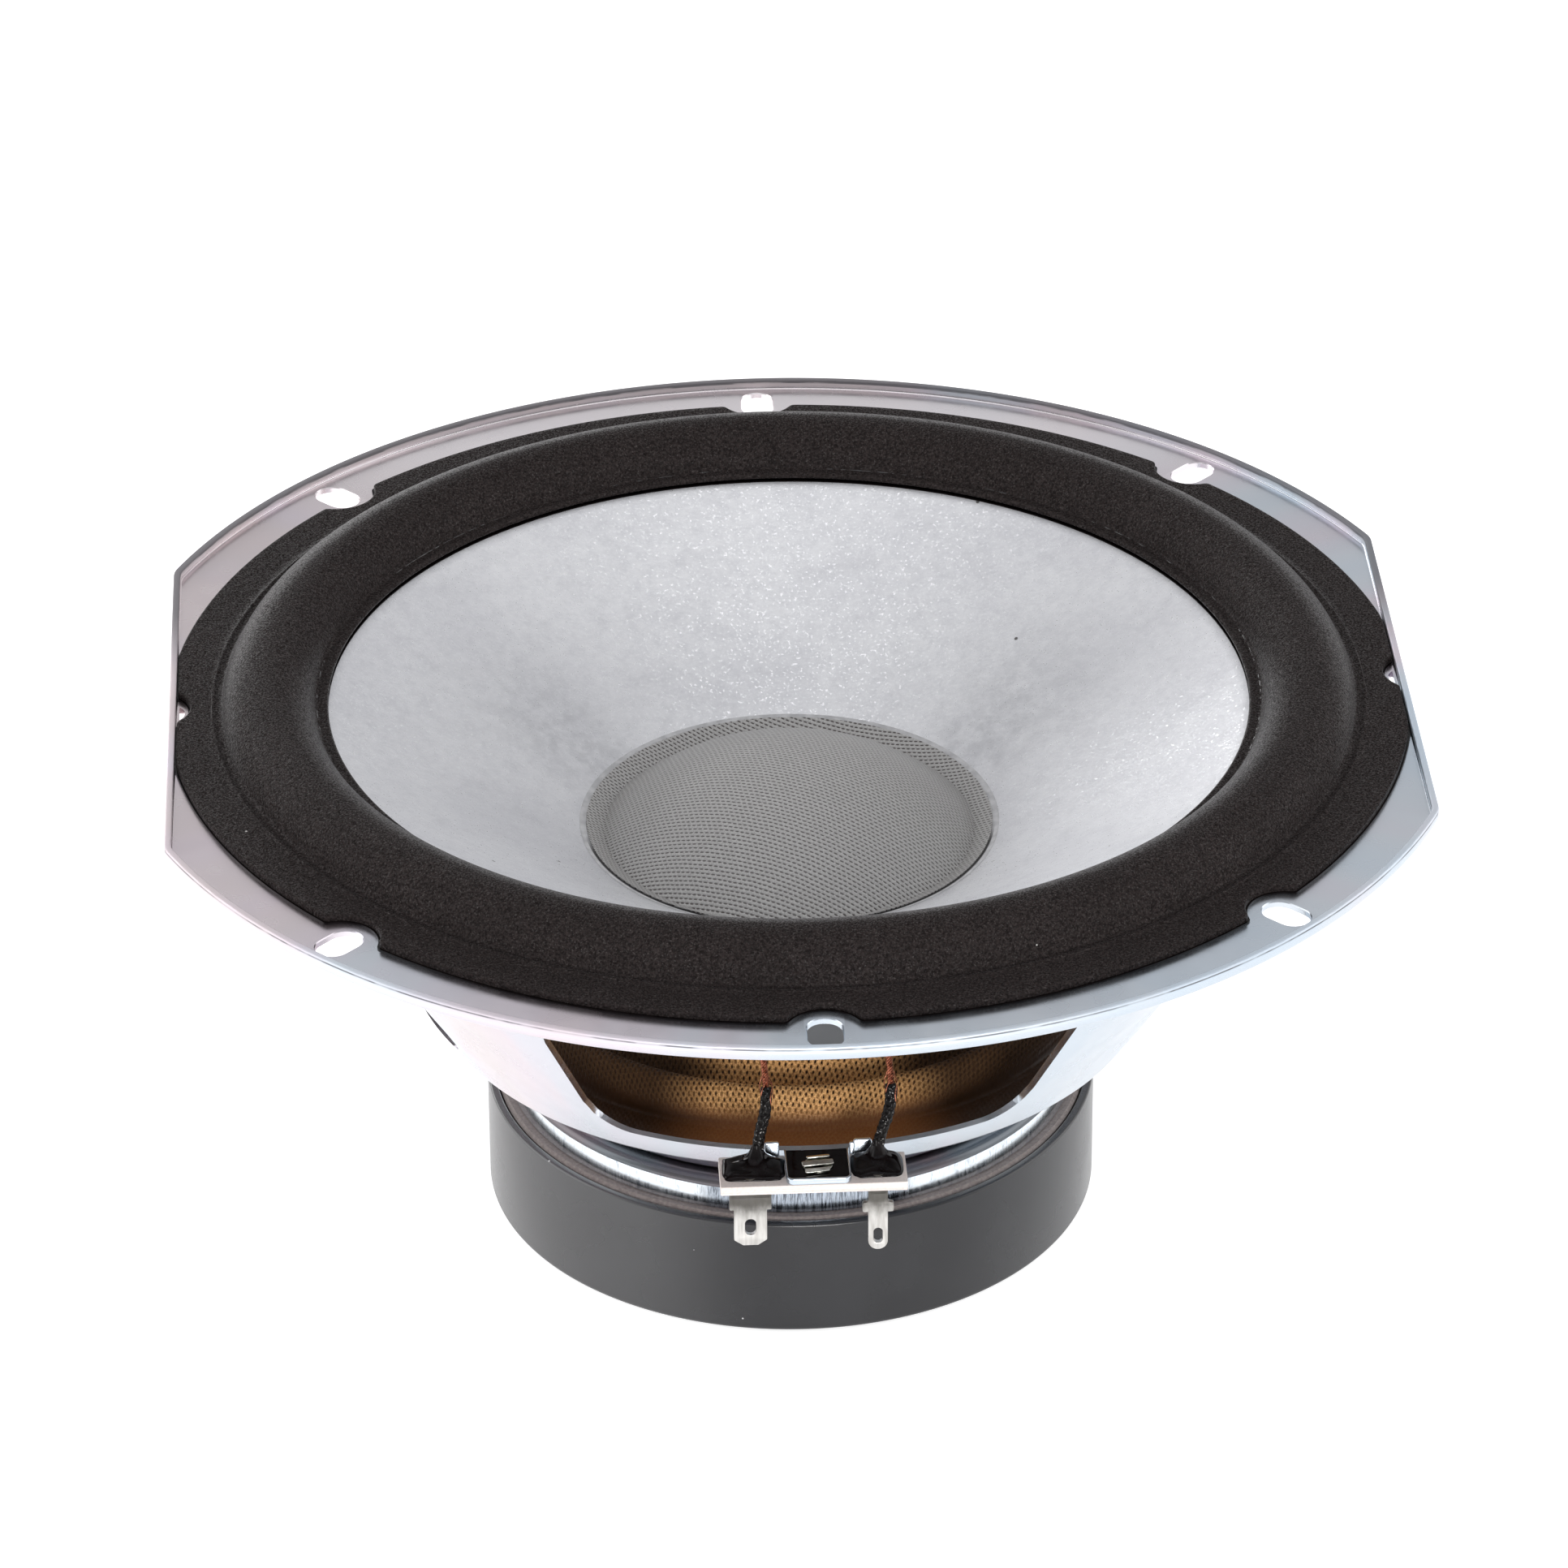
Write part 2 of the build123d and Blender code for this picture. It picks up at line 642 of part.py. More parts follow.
with BuildPart() as narrow_tab:
    with BuildSketch(foot_plane):
        with Locations((tab_x, (tab_foot_y + tab_face_y) / 2)):
            Rectangle(narrow_tab_width, tab_foot_y - tab_face_y)
        with Locations(tab_places[1]):
            Circle(tab_foot_end)
    extrude(amount=tab_thickness)
    narrow_round_z = narrow_tip_z + narrow_tab_width / 2
    with BuildSketch(blade_plane) as narrow_blade:
        with Locations((tab_x, (narrow_round_z + board_z) / 2)):
            Rectangle(narrow_tab_width, board_z - narrow_round_z)
        with Locations((tab_x, narrow_shoulder_z)):
            Rectangle(narrow_shoulder_width, narrow_shoulder_height)
        shoulder_corners = narrow_blade.vertices().group_by(Axis.Y)[1:-1]
        fillet([corner for level in shoulder_corners for corner in level], narrow_corner_r)
        with Locations((tab_x, narrow_round_z)):
            Circle(narrow_tab_width / 2)
        with Locations((tab_x, narrow_hole_z)):
            SlotOverall(*narrow_hole, rotation=90, mode=Mode.SUBTRACT)
    extrude(amount=tab_thickness)
    fillet(narrow_tab.edges().filter_by(Axis.X).group_by(Axis.Y)[0].sort_by(Axis.Z)[-1], tab_bend_r)
    with BuildSketch(foot_plane):
        with Locations(tab_places[1]):
            Circle(tab_eyelet_r + eyelet_slack)
    extrude(amount=tab_thickness, mode=Mode.SUBTRACT)
save(narrow_tab, "narrow_tab")

with BuildPart() as tab_eyelets:
    for flange_foot_z in (tab_foot_z - eyelet_flange, board_top_z):
        with BuildSketch(Plane.XY.offset(flange_foot_z)):
            with Locations(*tab_places):
                Circle(tab_eyelet_flange_r)
        extrude(amount=eyelet_flange)
    with BuildSketch(Plane.XY.offset(tab_foot_z)):
        with Locations(*tab_places):
            Circle(tab_eyelet_r)
    extrude(amount=board_top_z - tab_foot_z)
save(tab_eyelets, "tab_eyelets")

# ---------------------------------------------------------------- leads

# Each lead's route from its joint on the board up to the cone's back
lead_foot_z = board_top_z + lead_above_board
wide_route = [
    (-8.0, -59.7, lead_foot_z),
    (-7.8, -59.5, 42.7),
    (-6.3, -58.0, 47.4),
    (-6.6, -55.4, 53.0),
    (-7.4, -51.2, 59.6),
    (-8.3, -47.9, 66.3),
]
narrow_route = [
    (9.3, -59.7, lead_foot_z),
    (9.5, -59.5, 42.3),
    (11.5, -58.0, 46.6),
    (11.4, -55.4, 52.6),
    (10.4, -51.1, 59.4),
    (9.2, -47.8, 66.2),
]
sleeve_corners = 3         # points of the route before the sleeve's end
sleeve_end = 0.47          # how far along the next run it ends


def bend_radii(points):
    """Largest arc for each corner: 0.45 of the shorter run over the tangent of half the turn."""
    radii = []
    for before, corner, after in zip(points, points[1:], points[2:]):
        arriving = corner - before
        leaving = after - corner
        half_turn = radians(arriving.get_angle(leaving) / 2)
        radii.append(0.45 * min(arriving.length, leaving.length) / tan(half_turn))
    return radii


def tube(points, radii, radius, bore=0):
    """A round tube along straight runs joined by tangent arcs."""
    with BuildPart() as swept:
        with BuildLine() as path:
            FilletPolyline(*points, radius=radii)
        with BuildSketch(Plane(origin=path.line @ 0, z_dir=path.line % 0)):
            Circle(radius)
            if bore:
                Circle(bore, mode=Mode.SUBTRACT)
        sweep()
    expected = pi * (radius**2 - bore**2) * path.wires()[0].length
    print("volume", round(swept.part.volume, 2), "section x length", round(expected, 2))
    return swept.part


for side, route in (("wide", wide_route), ("narrow", narrow_route)):
    points = [Vector(*point) for point in route]
    radii = bend_radii(points)
    print(side, "lead's bend radii", [round(bend, 1) for bend in radii])
    lead_tube = tube(points, radii, lead_r)
    with BuildPart() as tinsel_lead:
        add(lead_tube)
    save(tinsel_lead, f"{side}_tinsel_lead")
    last, following = points[sleeve_corners - 1], points[sleeve_corners]
    sleeve_points = points[:sleeve_corners] + [last + (following - last) * sleeve_end]
    sleeve_tube = tube(sleeve_points, radii[: sleeve_corners - 1], sleeve_r, sleeve_bore_r)
    with BuildPart() as lead_sleeve:
        add(sleeve_tube)
    save(lead_sleeve, f"{side}_lead_sleeve")

    # Glue over the solder joint, with room left for the eyelet's flange, the sleeve and the lead
    sign = -1 if side == "wide" else 1
    lead_foot = (route[0][0], route[0][1])
    inner_x = tongue_x + sign * (tongue_width / 2 + 2 * skin_gap)
    outer_x = sign * (board_length / 2 - 2 * tab_edge_gap)
    with BuildPart() as tab_glue:
        with BuildSketch(Plane.XY.offset(board_top_z)):
            with Locations(((inner_x + outer_x) / 2, board_y + glue_forward)):
                RectangleRounded(abs(outer_x - inner_x), glue_width, glue_round_r + tab_edge_gap)
        extrude(amount=glue_height)
        fillet(tab_glue.faces().sort_by(Axis.Z)[-1].edges(), glue_round_r)
        with BuildSketch(Plane.XY.offset(board_top_z + flare_foot_height)):
            with Locations(lead_foot):
                Circle(flare_foot_r)
        with BuildSketch(Plane.XY.offset(board_top_z + flare_height)):
            with Locations(lead_foot):
                Circle(flare_top_r)
        loft()
        with BuildSketch(Plane.XY.offset(board_top_z)):
            with Locations((sign * tab_x, tab_eyelet_y)):
                Circle(tab_eyelet_flange_r + skin_gap)
        extrude(amount=eyelet_flange + skin_gap, mode=Mode.SUBTRACT)
        with BuildSketch(Plane.XY.offset(lead_foot_z - 2 * skin_gap)):
            with Locations(lead_foot):
                Circle(sleeve_r + sleeve_pocket_gap)
        extrude(amount=flare_height, mode=Mode.SUBTRACT)
    save(tab_glue, f"{side}_tab_glue")


# Glue dots and lead-out wires on the cone's back
def back_plane(x, gap):
    """Plane on the cone's back at joint_r, at the given x, facing away from the cone."""
    y = -sqrt(joint_r**2 - x**2)
    normal = Vector(x / joint_r * sin(cone_fall), y / joint_r * sin(cone_fall), -cos(cone_fall))
    foot = Vector(x, y, cone_z(joint_r) - cone_drop)
    return Plane(origin=foot + normal * gap, z_dir=normal)


with BuildPart() as lead_joints:
    for x in (-joint_x, joint_x):
        with BuildSketch(back_plane(x, skin_gap)):
            Circle(joint_glue_r)
        extrude(amount=joint_glue_height)
save(lead_joints, "lead_joints")

with BuildPart() as lead_outs:
    for x in (-joint_x, joint_x):
        start_r = collar_r + 2 * lead_out_r
        end_r = joint_r - joint_glue_r - 4 * skin_gap
        y = -sqrt(joint_r**2 - x**2)
        drop = cone_drop + 3 * skin_gap + lead_out_r / cos(cone_fall)
        inner_end = (x * start_r / joint_r, y * start_r / joint_r, cone_z(start_r) - drop)
        outer_end = (x * end_r / joint_r, y * end_r / joint_r, cone_z(end_r) - drop)
        with BuildLine() as wire:
            Line(inner_end, outer_end)
        with BuildSketch(Plane(origin=inner_end, z_dir=Vector(*outer_end) - Vector(*inner_end))):
            Circle(lead_out_r)
        sweep(path=wire.line)
save(lead_outs, "lead_outs")
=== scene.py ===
from math import atan, cos, pi, radians, sin, sqrt, tan

import bmesh
import bpy
import numpy as np
from mathutils import Matrix, Vector, noise


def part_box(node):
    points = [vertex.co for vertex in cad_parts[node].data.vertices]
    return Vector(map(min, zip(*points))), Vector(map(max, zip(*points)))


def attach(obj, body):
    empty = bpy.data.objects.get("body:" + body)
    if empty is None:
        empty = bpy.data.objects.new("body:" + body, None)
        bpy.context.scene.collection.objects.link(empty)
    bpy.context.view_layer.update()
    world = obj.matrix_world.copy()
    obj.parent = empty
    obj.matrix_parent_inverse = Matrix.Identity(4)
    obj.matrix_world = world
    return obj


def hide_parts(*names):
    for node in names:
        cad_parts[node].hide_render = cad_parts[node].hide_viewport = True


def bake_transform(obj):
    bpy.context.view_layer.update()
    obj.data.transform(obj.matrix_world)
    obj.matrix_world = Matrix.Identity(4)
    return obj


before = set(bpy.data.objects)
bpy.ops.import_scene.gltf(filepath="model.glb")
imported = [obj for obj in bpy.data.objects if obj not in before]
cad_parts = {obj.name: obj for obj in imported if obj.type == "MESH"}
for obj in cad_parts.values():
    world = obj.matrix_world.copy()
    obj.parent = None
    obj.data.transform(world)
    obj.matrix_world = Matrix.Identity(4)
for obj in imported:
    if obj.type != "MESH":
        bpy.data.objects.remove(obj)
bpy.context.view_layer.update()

mm = 0.001

# ---------------------------------------------------------------- sizes
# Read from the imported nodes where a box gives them, and named here where it doesn't.


def low(node):
    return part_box(node)[0]


def high(node):
    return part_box(node)[1]


frame_r = high("basket").y
flat_x = high("basket").x
lip_top = high("basket").z
base_z = low("basket").z
sheet = 1.0 * mm
lip_height = 2.5 * mm      # lip, over the flange's underside
flange_z = lip_top - lip_height
flange_top = flange_z + sheet
wall_foot = (53.8 * mm, 34.0 * mm)     # radius and height
wall_spread = 0.651
slot_circle_r = 93.8 * mm
slot_width = 5.0 * mm
slot_length = 7.5 * mm
window_half_arc = radians(32.2)
window_foot = 39.1 * mm
window_head = 66.5 * mm
window_corner = 6.0 * mm

foam_bottom = high("surround_adhesive").z
foam_thickness = 1.0 * mm
foam_top = foam_bottom + foam_thickness
foam_r = 91.3 * mm
foam_flat = high("surround").x
foam_notch_r = 5.8 * mm
roll_r = 76.5 * mm
roll_ball = 6.474 * mm     # middle of the foam, round the roll
roll_centre = foam_bottom - 0.474 * mm
foam_lip_r = 67.75 * mm

cone_edge_r = 67.75 * mm
cone_edge_z = high("cone").z
cone_slope = 0.565
cone_rim_r = 70.3 * mm
cone_thickness = 0.7 * mm
cap_r = high("dust_cap").x
cap_dome_r = 27.5 * mm
cap_top = high("dust_cap").z
cap_thickness = 0.5 * mm

boot_r = high("magnet_boot").x
boot_top = high("magnet_boot").z
plate_r = high("top_plate").x
plate_low = low("top_plate").z
plate_corner = 1.3 * mm
plate_bore_r = 20.6 * mm

board_top = high("terminal_board").z
board_low = low("terminal_board").z
board_front = low("terminal_board").y
board_back = high("terminal_board").y
tab_x = 9.15 * mm
tab_thickness = 0.8 * mm
tab_face_y = board_front + 0.3 * mm
tab_foot_y = board_front + 4.9 * mm
tongue_x = 0.7 * mm
lead_r = 0.5 * mm
sleeve_r = 0.9 * mm


def wall_r(z):
    """Outside radius of the basket's wall at height z."""
    return wall_foot[0] + (z - wall_foot[1]) * wall_spread


def cone_z(r):
    """Height of the cone's front face at radius r."""
    return cone_edge_z - (cone_edge_r - r) * cone_slope


# ---------------------------------------------------------------- camera, light and floor


def new_object(name, data):
    made = bpy.data.objects.new(name, data)
    bpy.context.scene.collection.objects.link(made)
    return made


def make_camera():
    camera = new_object("camera", bpy.data.cameras.new("camera"))
    camera.data.sensor_width = 36
    camera.data.lens = 172.97
    camera.data.clip_end = 20
    camera.location = (-0.0492, -0.9654, 0.6285)
    turn = Matrix.Rotation(radians(-2.872), 4, "Z")
    tilt = Matrix.Rotation(radians(59.84), 4, "X")
    roll = Matrix.Rotation(radians(-0.31), 4, "Z")
    camera.rotation_euler = (turn @ tilt @ roll).to_euler()
    bpy.context.scene.camera = camera


def area_light(name, place, size, power, towards=(0, 0, 0.05), colour=(1, 1, 1)):
    lamp = bpy.data.lights.new(name, "AREA")
    lamp.shape = "RECTANGLE"
    lamp.size, lamp.size_y = size
    lamp.energy = power
    lamp.color = colour
    lamp_object = new_object(name, lamp)
    lamp_object.location = place
    aim = Vector(towards) - Vector(place)
    lamp_object.rotation_euler = aim.to_track_quat("-Z", "Y").to_euler()


def make_world():
    """A white tent: bright low down, dimmer towards the top, and a little dimmer in front."""
    world = bpy.data.worlds.new("tent")
    bpy.context.scene.world = world
    world.use_nodes = True
    nodes, links = world.node_tree.nodes, world.node_tree.links
    where = nodes.new("ShaderNodeTexCoord")
    parts = nodes.new("ShaderNodeSeparateXYZ")
    links.new(where.outputs["Generated"], parts.inputs[0])
    rise = nodes.new("ShaderNodeValToRGB")
    rise.color_ramp.interpolation = "EASE"
    stops = ((0.0, 1.0), (0.50, 1.0), (0.62, 0.98), (0.72, 0.72), (0.86, 0.50), (0.95, 0.7))
    ramp = rise.color_ramp.elements
    for place, level in stops:
        stop = ramp[0] if place == 0 else ramp.new(place)
        stop.color = (level, level, level * 1.02, 1)
        stop.position = place
    ramp.remove(ramp[-1])
    height = nodes.new("ShaderNodeMapRange")
    height.inputs["From Min"].default_value = -1
    links.new(parts.outputs["Z"], height.inputs["Value"])
    links.new(height.outputs[0], rise.inputs[0])
    front = nodes.new("ShaderNodeMapRange")
    front.interpolation_type = "SMOOTHSTEP"
    front.inputs["From Min"].default_value = -0.9
    front.inputs["From Max"].default_value = -0.1
    front.inputs["To Min"].default_value = 0.8
    links.new(parts.outputs["Y"], front.inputs["Value"])
    background = nodes["Background"]
    links.new(rise.outputs[0], background.inputs["Color"])
    links.new(front.outputs[0], background.inputs["Strength"])


def make_stage():
    floor_mesh = bpy.data.meshes.new("floor")
    reach = 4.0
    corners = [(-reach, -reach, 0), (reach, -reach, 0), (reach, reach, 0), (-reach, reach, 0)]
    floor_mesh.from_pydata(corners, [], [(0, 1, 2, 3)])
    floor = new_object("floor", floor_mesh)
    floor.location.z = -0.3 * mm
    pale = bpy.data.materials.new("floor_white")
    pale.use_nodes = True
    shader = pale.node_tree.nodes["Principled BSDF"]
    shader.inputs["Base Color"].default_value = (0.60, 0.60, 0.60, 1)
    shader.inputs["Roughness"].default_value = 0.8
    shader.inputs["Specular IOR Level"].default_value = 0.2
    shader.inputs["Emission Color"].default_value = (1, 1, 1, 1)
    nodes, links = pale.node_tree.nodes, pale.node_tree.links
    where = nodes.new("ShaderNodeTexCoord")
    parts = nodes.new("ShaderNodeSeparateXYZ")
    links.new(where.outputs["Object"], parts.inputs[0])
    # The floor glows as a light source, brighter towards −X.
    glow = nodes.new("ShaderNodeMapRange")
    glow.interpolation_type = "SMOOTHSTEP"
    for key, value in (("From Min", 0.02), ("From Max", -0.30), ("To Min", 0.76), ("To Max", 1.12)):
        glow.inputs[key].default_value = value
    links.new(parts.outputs["X"], glow.inputs["Value"])
    links.new(glow.outputs[0], shader.inputs["Emission Strength"])
    floor_mesh.materials.append(pale)


def light_the_stage():
    area_light("overhead", (0.0, 0.05, 1.3), (0.95, 0.95), 2.25)
    area_light("left_side", (-1.2, 0.15, 0.5), (1.2, 1.2), 6.0)
    area_light("right_side", (1.2, 0.05, 0.5), (1.2, 1.2), 5.2)
    area_light("front_fill", (0.10, -1.15, 0.22), (0.35, 0.2), 7, (0, -0.04, 0.04))
    area_light("back_strip", (-0.75, 1.4, 0.42), (1.3, 0.4), 4.6, (0, 0, 0.085))
    bpy.context.scene.view_settings.view_transform = "Standard"


make_camera()
make_world()
make_stage()
light_the_stage()

# ---------------------------------------------------------------- materials


class Shader:
    """A material's node tree, with a short way to add nodes and join them."""

    def __init__(self, name):
        self.material = bpy.data.materials.new(name)
        self.material.use_nodes = True
        self.nodes = self.material.node_tree.nodes
        self.links = self.material.node_tree.links
        self.surface = self.nodes["Principled BSDF"]
        self.place = self.add("ShaderNodeTexCoord").outputs["Object"]

    def put(self, socket, value):
        if isinstance(value, bpy.types.NodeSocket):
            self.links.new(value, socket)
        elif socket.type == "RGBA" and len(value) == 3:
            socket.default_value = (*value, 1)
        else:
            socket.default_value = value

    def add(self, kind, inputs=(), **settings):
        node = self.nodes.new(kind)
        for key, value in settings.items():
            setattr(node, key, value)
        for key, value in dict(inputs).items():
            self.put(node.inputs[key], value)
        return node

    def math(self, operation, *values):
        node = self.add("ShaderNodeMath", operation=operation)
        for socket, value in zip(node.inputs, values):
            self.put(socket, value)
        return node.outputs[0]

    def stretched(self, scale, turn=0.0, place=None):
        mapping = self.add("ShaderNodeMapping", {"Vector": place or self.place, "Scale": scale})
        mapping.inputs["Rotation"].default_value[2] = turn
        return mapping.outputs[0]

    def noise(self, size, detail=2.0, roughness=0.5, place=None, kind="Fac"):
        inputs = {
            "Vector": place or self.place,
            "Scale": 1 / size,
            "Detail": detail,
            "Roughness": roughness,
        }
        return self.add("ShaderNodeTexNoise", inputs).outputs[kind]

    def cells(self, size, place=None, feature="F1", output="Distance"):
        inputs = {"Vector": place or self.place, "Scale": 1 / size}
        return self.add("ShaderNodeTexVoronoi", inputs, feature=feature).outputs[output]

    def ranged(self, value, start, end, low_out=0.0, high_out=1.0, smooth=True):
        kind = "SMOOTHSTEP" if smooth else "LINEAR"
        keys = ("Value", "From Min", "From Max", "To Min", "To Max")
        inputs = dict(zip(keys, (value, start, end, low_out, high_out)))
        return self.add("ShaderNodeMapRange", inputs, interpolation_type=kind).outputs[0]

    def mix(self, share, first, second, blend="MIX"):
        node = self.add("ShaderNodeMix", data_type="RGBA", blend_type=blend)
        self.put(node.inputs[0], share)
        self.put(node.inputs[6], first)
        self.put(node.inputs[7], second)
        return node.outputs[2]

    def axis(self, name, place=None):
        parts = self.add("ShaderNodeSeparateXYZ", {0: place or self.place})
        return parts.outputs[name]

    def times(self, *values):
        return self.math("MULTIPLY", *values)

    def radius(self):
        """Distance from the speaker's axis."""
        squares = [self.math("POWER", self.axis(name), 2.0) for name in "XY"]
        return self.math("SQRT", self.math("ADD", *squares))

    def bump(self, height, depth, strength=1.0):
        inputs = {"Height": height, "Distance": depth, "Strength": strength}
        node = self.add("ShaderNodeBump", inputs)
        before = self.surface.inputs["Normal"]
        if before.is_linked:
            self.put(node.inputs["Normal"], before.links[0].from_socket)
        self.put(before, node.outputs[0])

    def set(self, **values):
        for key, value in values.items():
            self.put(self.surface.inputs[key.replace("_", " ")], value)
        return self


def zinc_clouds(s, dark):
    """Pink and blue passivation clouds that drift across the basket."""
    theta = s.math("ARCTAN2", s.axis("Y"), s.axis("X"))
    around = {0: s.math("SINE", theta), 1: s.math("COSINE", theta), 2: s.times(s.axis("Z"), 6.0)}
    bands = s.noise(0.22, 2, 0.4, s.add("ShaderNodeCombineXYZ", around).outputs[0])
    lean = s.math("ADD", s.times(s.axis("Y"), 1.6), s.times(s.axis("X"), -2.2))
    ramp = s.add("ShaderNodeValToRGB", {"Fac": s.math("ADD", bands, lean)})
    stops = (
        (0.22, (0.565, 0.635, 0.705)),
        (0.40, (0.605, 0.65, 0.70)),
        (0.50, (0.635, 0.63, 0.69)),
        (0.60, (0.675, 0.605, 0.65)),
        (0.74, (0.665, 0.595, 0.605)),
    )
    for k, (place, tint) in enumerate(stops):
        stop = ramp.color_ramp.elements[k] if k < 2 else ramp.color_ramp.elements.new(place)
        stop.position = place
        stop.color = (*(dark * c for c in tint), 1)
    return ramp.outputs[0]


def zinc_wear_and_shade(s, tint, height, dark):
    """Dull clouds, and a broken dark line of painted shadow just under the lip's top edge."""
    # Painted shadow: a dark band just under the lip's top edge, broken by noise.
    burr_shadow = s.times(s.ranged(height, lip_top - 0.62 * mm, lip_top - 0.50 * mm),
                   s.ranged(height, lip_top - 0.26 * mm, lip_top - 0.38 * mm))
    burr_shadow = s.times(burr_shadow, s.ranged(s.noise(5 * mm, 3), 0.35, 0.6, 0.25, 0.85))
    cloud = s.ranged(s.noise(14 * mm, 3), 0.35, 0.7, 0.0, 0.18)
    tint = s.mix(cloud, tint, (0.60 * dark, 0.60 * dark, 0.63 * dark))
    return s.mix(burr_shadow, tint, (0.13, 0.13, 0.14))


def zinc_shades(s, tint, height, lip, behind, dark):
    """Painted by place, not cast by light: painted shade on the back lip's top, painted light on the
    back flange, and a painted shadow on the wall over the front window, which shows as a rectangle from low
    in front."""
    # Painted shade along the top of the lip at the back.
    edge = s.times(s.ranged(height, lip_top - 0.42 * mm, lip_top - 0.30 * mm), behind)
    tint = s.mix(s.times(edge, 0.85), tint, (0.10, 0.10, 0.11))
    # Painted light: the flange is paler towards the back.
    back_flange_light = s.ranged(s.axis("Y"), 55 * mm, 85 * mm, 0.0, 0.85)
    tint = s.mix(s.times(back_flange_light, s.math("SUBTRACT", 1.0, lip)), tint,
                 (0.90 * dark, 0.86 * dark, 0.88 * dark))
    # Painted shadow on the wall over the front window, under the flange.
    near_front = s.times(s.ranged(s.math("ABSOLUTE", s.axis("X")), 11 * mm, 6 * mm),
                         s.ranged(s.axis("Y"), -60 * mm, -70 * mm))
    over_window = s.times(s.ranged(height, window_head - 0.1 * mm, window_head + 3.0 * mm),
                          s.ranged(height, flange_z - 0.6 * mm, flange_z - 1.6 * mm))
    shade = s.times(near_front, over_window)
    return s.mix(s.times(shade, 0.97), tint, (0.030, 0.031, 0.034))


def zinc(name="zinc", dark=1.0):
    """Zinc plate: satin, clouded, with a softer lip."""
    s = Shader(name)
    height = s.axis("Z")
    lip = s.ranged(height, flange_top + 0.1 * mm, flange_top + 0.5 * mm)
    behind = s.ranged(s.axis("Y"), 5 * mm, 30 * mm)
    tint = zinc_wear_and_shade(s, zinc_clouds(s, dark), height, dark)
    s.set(
        Base_Color=zinc_shades(s, tint, height, lip, behind, dark),
        Metallic=s.ranged(s.times(lip, behind), 0.0, 1.0, 1.0, 0.35),
        Roughness=s.math(
            "MAXIMUM", s.ranged(s.noise(5 * mm, 2), 0.3, 0.7, 0.22, 0.28),
            s.ranged(height, flange_top + 0.2 * mm, flange_top + 0.9 * mm, 0.2, 0.6),
        ),
    )
    s.bump(s.noise(4 * mm, 1), 0.004 * mm, 0.3)
    return s.material


def foam():
    """Charcoal foam with a fine open grain, whose cell walls catch the light."""
    s = Shader("foam")
    grain = s.noise(0.42 * mm, 3, 0.7)
    fine = s.noise(0.24 * mm, 2, 0.6)
    cloud = s.noise(9 * mm, 3)
    speck = s.ranged(fine, 0.60, 0.74)
    tone = s.mix(s.ranged(grain, 0.35, 0.68), (0.0100, 0.0080, 0.0078), (0.0340, 0.0272, 0.0262))
    tone = s.mix(s.times(speck, 0.30), tone, (0.17, 0.157, 0.152))
    tone = s.mix(s.ranged(cloud, 0.3, 0.7, 0.0, 0.25), tone, (0.012, 0.0098, 0.0094))
    dust = s.ranged(s.cells(9 * mm), 0.022, 0.014, 0.0, 0.9)
    tone = s.mix(dust, tone, (0.62, 0.60, 0.58))
    turned_away = s.add("ShaderNodeLayerWeight", {"Blend": 0.5}).outputs["Facing"]
    glint = s.times(s.ranged(turned_away, 0.54, 0.84), s.ranged(fine, 0.42, 0.64, 0.05, 1.0))
    s.set(
        Base_Color=tone,
        Roughness=s.ranged(grain, 0.3, 0.7, 0.56, 0.34),
        Specular_IOR_Level=s.math("ADD", s.ranged(fine, 0.40, 0.66, 0.0, 0.12), glint),
        Sheen_Weight=0.04,
        Sheen_Roughness=0.18,
    )
    s.bump(grain, 0.16 * mm, 1.0)
    s.bump(fine, 0.07 * mm, 0.9)
    return s.material


def cone_paper():
    """Silver-coated paper: short fibres, fine mottling, bright flecks, and soft dark bands of painted
    reflection towards the cap."""
    s = Shader("cone_paper")
    mottle = s.noise(2.0 * mm, 4, 0.6)
    fibres = s.noise(0.75 * mm, 4, 0.75, s.stretched((1, 1.5, 1), 0.4))
    flecks = s.ranged(s.noise(0.42 * mm, 2), 0.56, 0.72)
    patches = s.noise(22 * mm, 3)
    tone = s.mix(s.ranged(mottle, 0.32, 0.68), (0.60, 0.605, 0.627), (0.66, 0.665, 0.683))
    tone = s.mix(s.ranged(fibres, 0.40, 0.72, 0.0, 0.6), tone, (0.74, 0.745, 0.76))
    tone = s.mix(s.ranged(fibres, 0.42, 0.30, 0.0, 0.16), tone, (0.42, 0.425, 0.45))
    smudges = s.noise(7 * mm, 4, 0.65)
    tone = s.mix(s.ranged(patches, 0.35, 0.7, 0.0, 0.22), tone, (0.42, 0.42, 0.46))
    tone = s.mix(s.ranged(smudges, 0.50, 0.75, 0.0, 0.28), tone, (0.44, 0.44, 0.47))
    tone = s.mix(s.times(flecks, 0.55), tone, (0.86, 0.865, 0.88))
    # Painted reflection: soft streaked dark bands on either side of the cap, fading towards the rim.
    bearing = s.math("ARCTAN2", s.axis("Y"), s.math("ABSOLUTE", s.axis("X")))
    band = s.times(s.ranged(bearing, 0.16, 0.50), s.ranged(bearing, 0.92, 0.58))
    near_cap = s.ranged(s.radius(), 64 * mm, 34 * mm)
    streaks = s.ranged(s.noise(2.6 * mm, 4, 0.7), 0.35, 0.65, 0.12, 0.46)
    band = s.times(s.times(band, near_cap), streaks)
    tone = s.mix(band, tone, (0.33, 0.335, 0.355))
    specks = s.ranged(s.cells(13 * mm), 0.028, 0.018, 0.0, 0.85)
    tone = s.mix(specks, tone, (0.04, 0.035, 0.03))
    s.set(
        Base_Color=tone,
        Metallic=0.62,
        Roughness=s.ranged(flecks, 0.0, 1.0, 0.50, 0.26),
    )
    s.bump(fibres, 0.045 * mm, 0.6)
    s.bump(mottle, 0.05 * mm, 0.4)
    return s.material


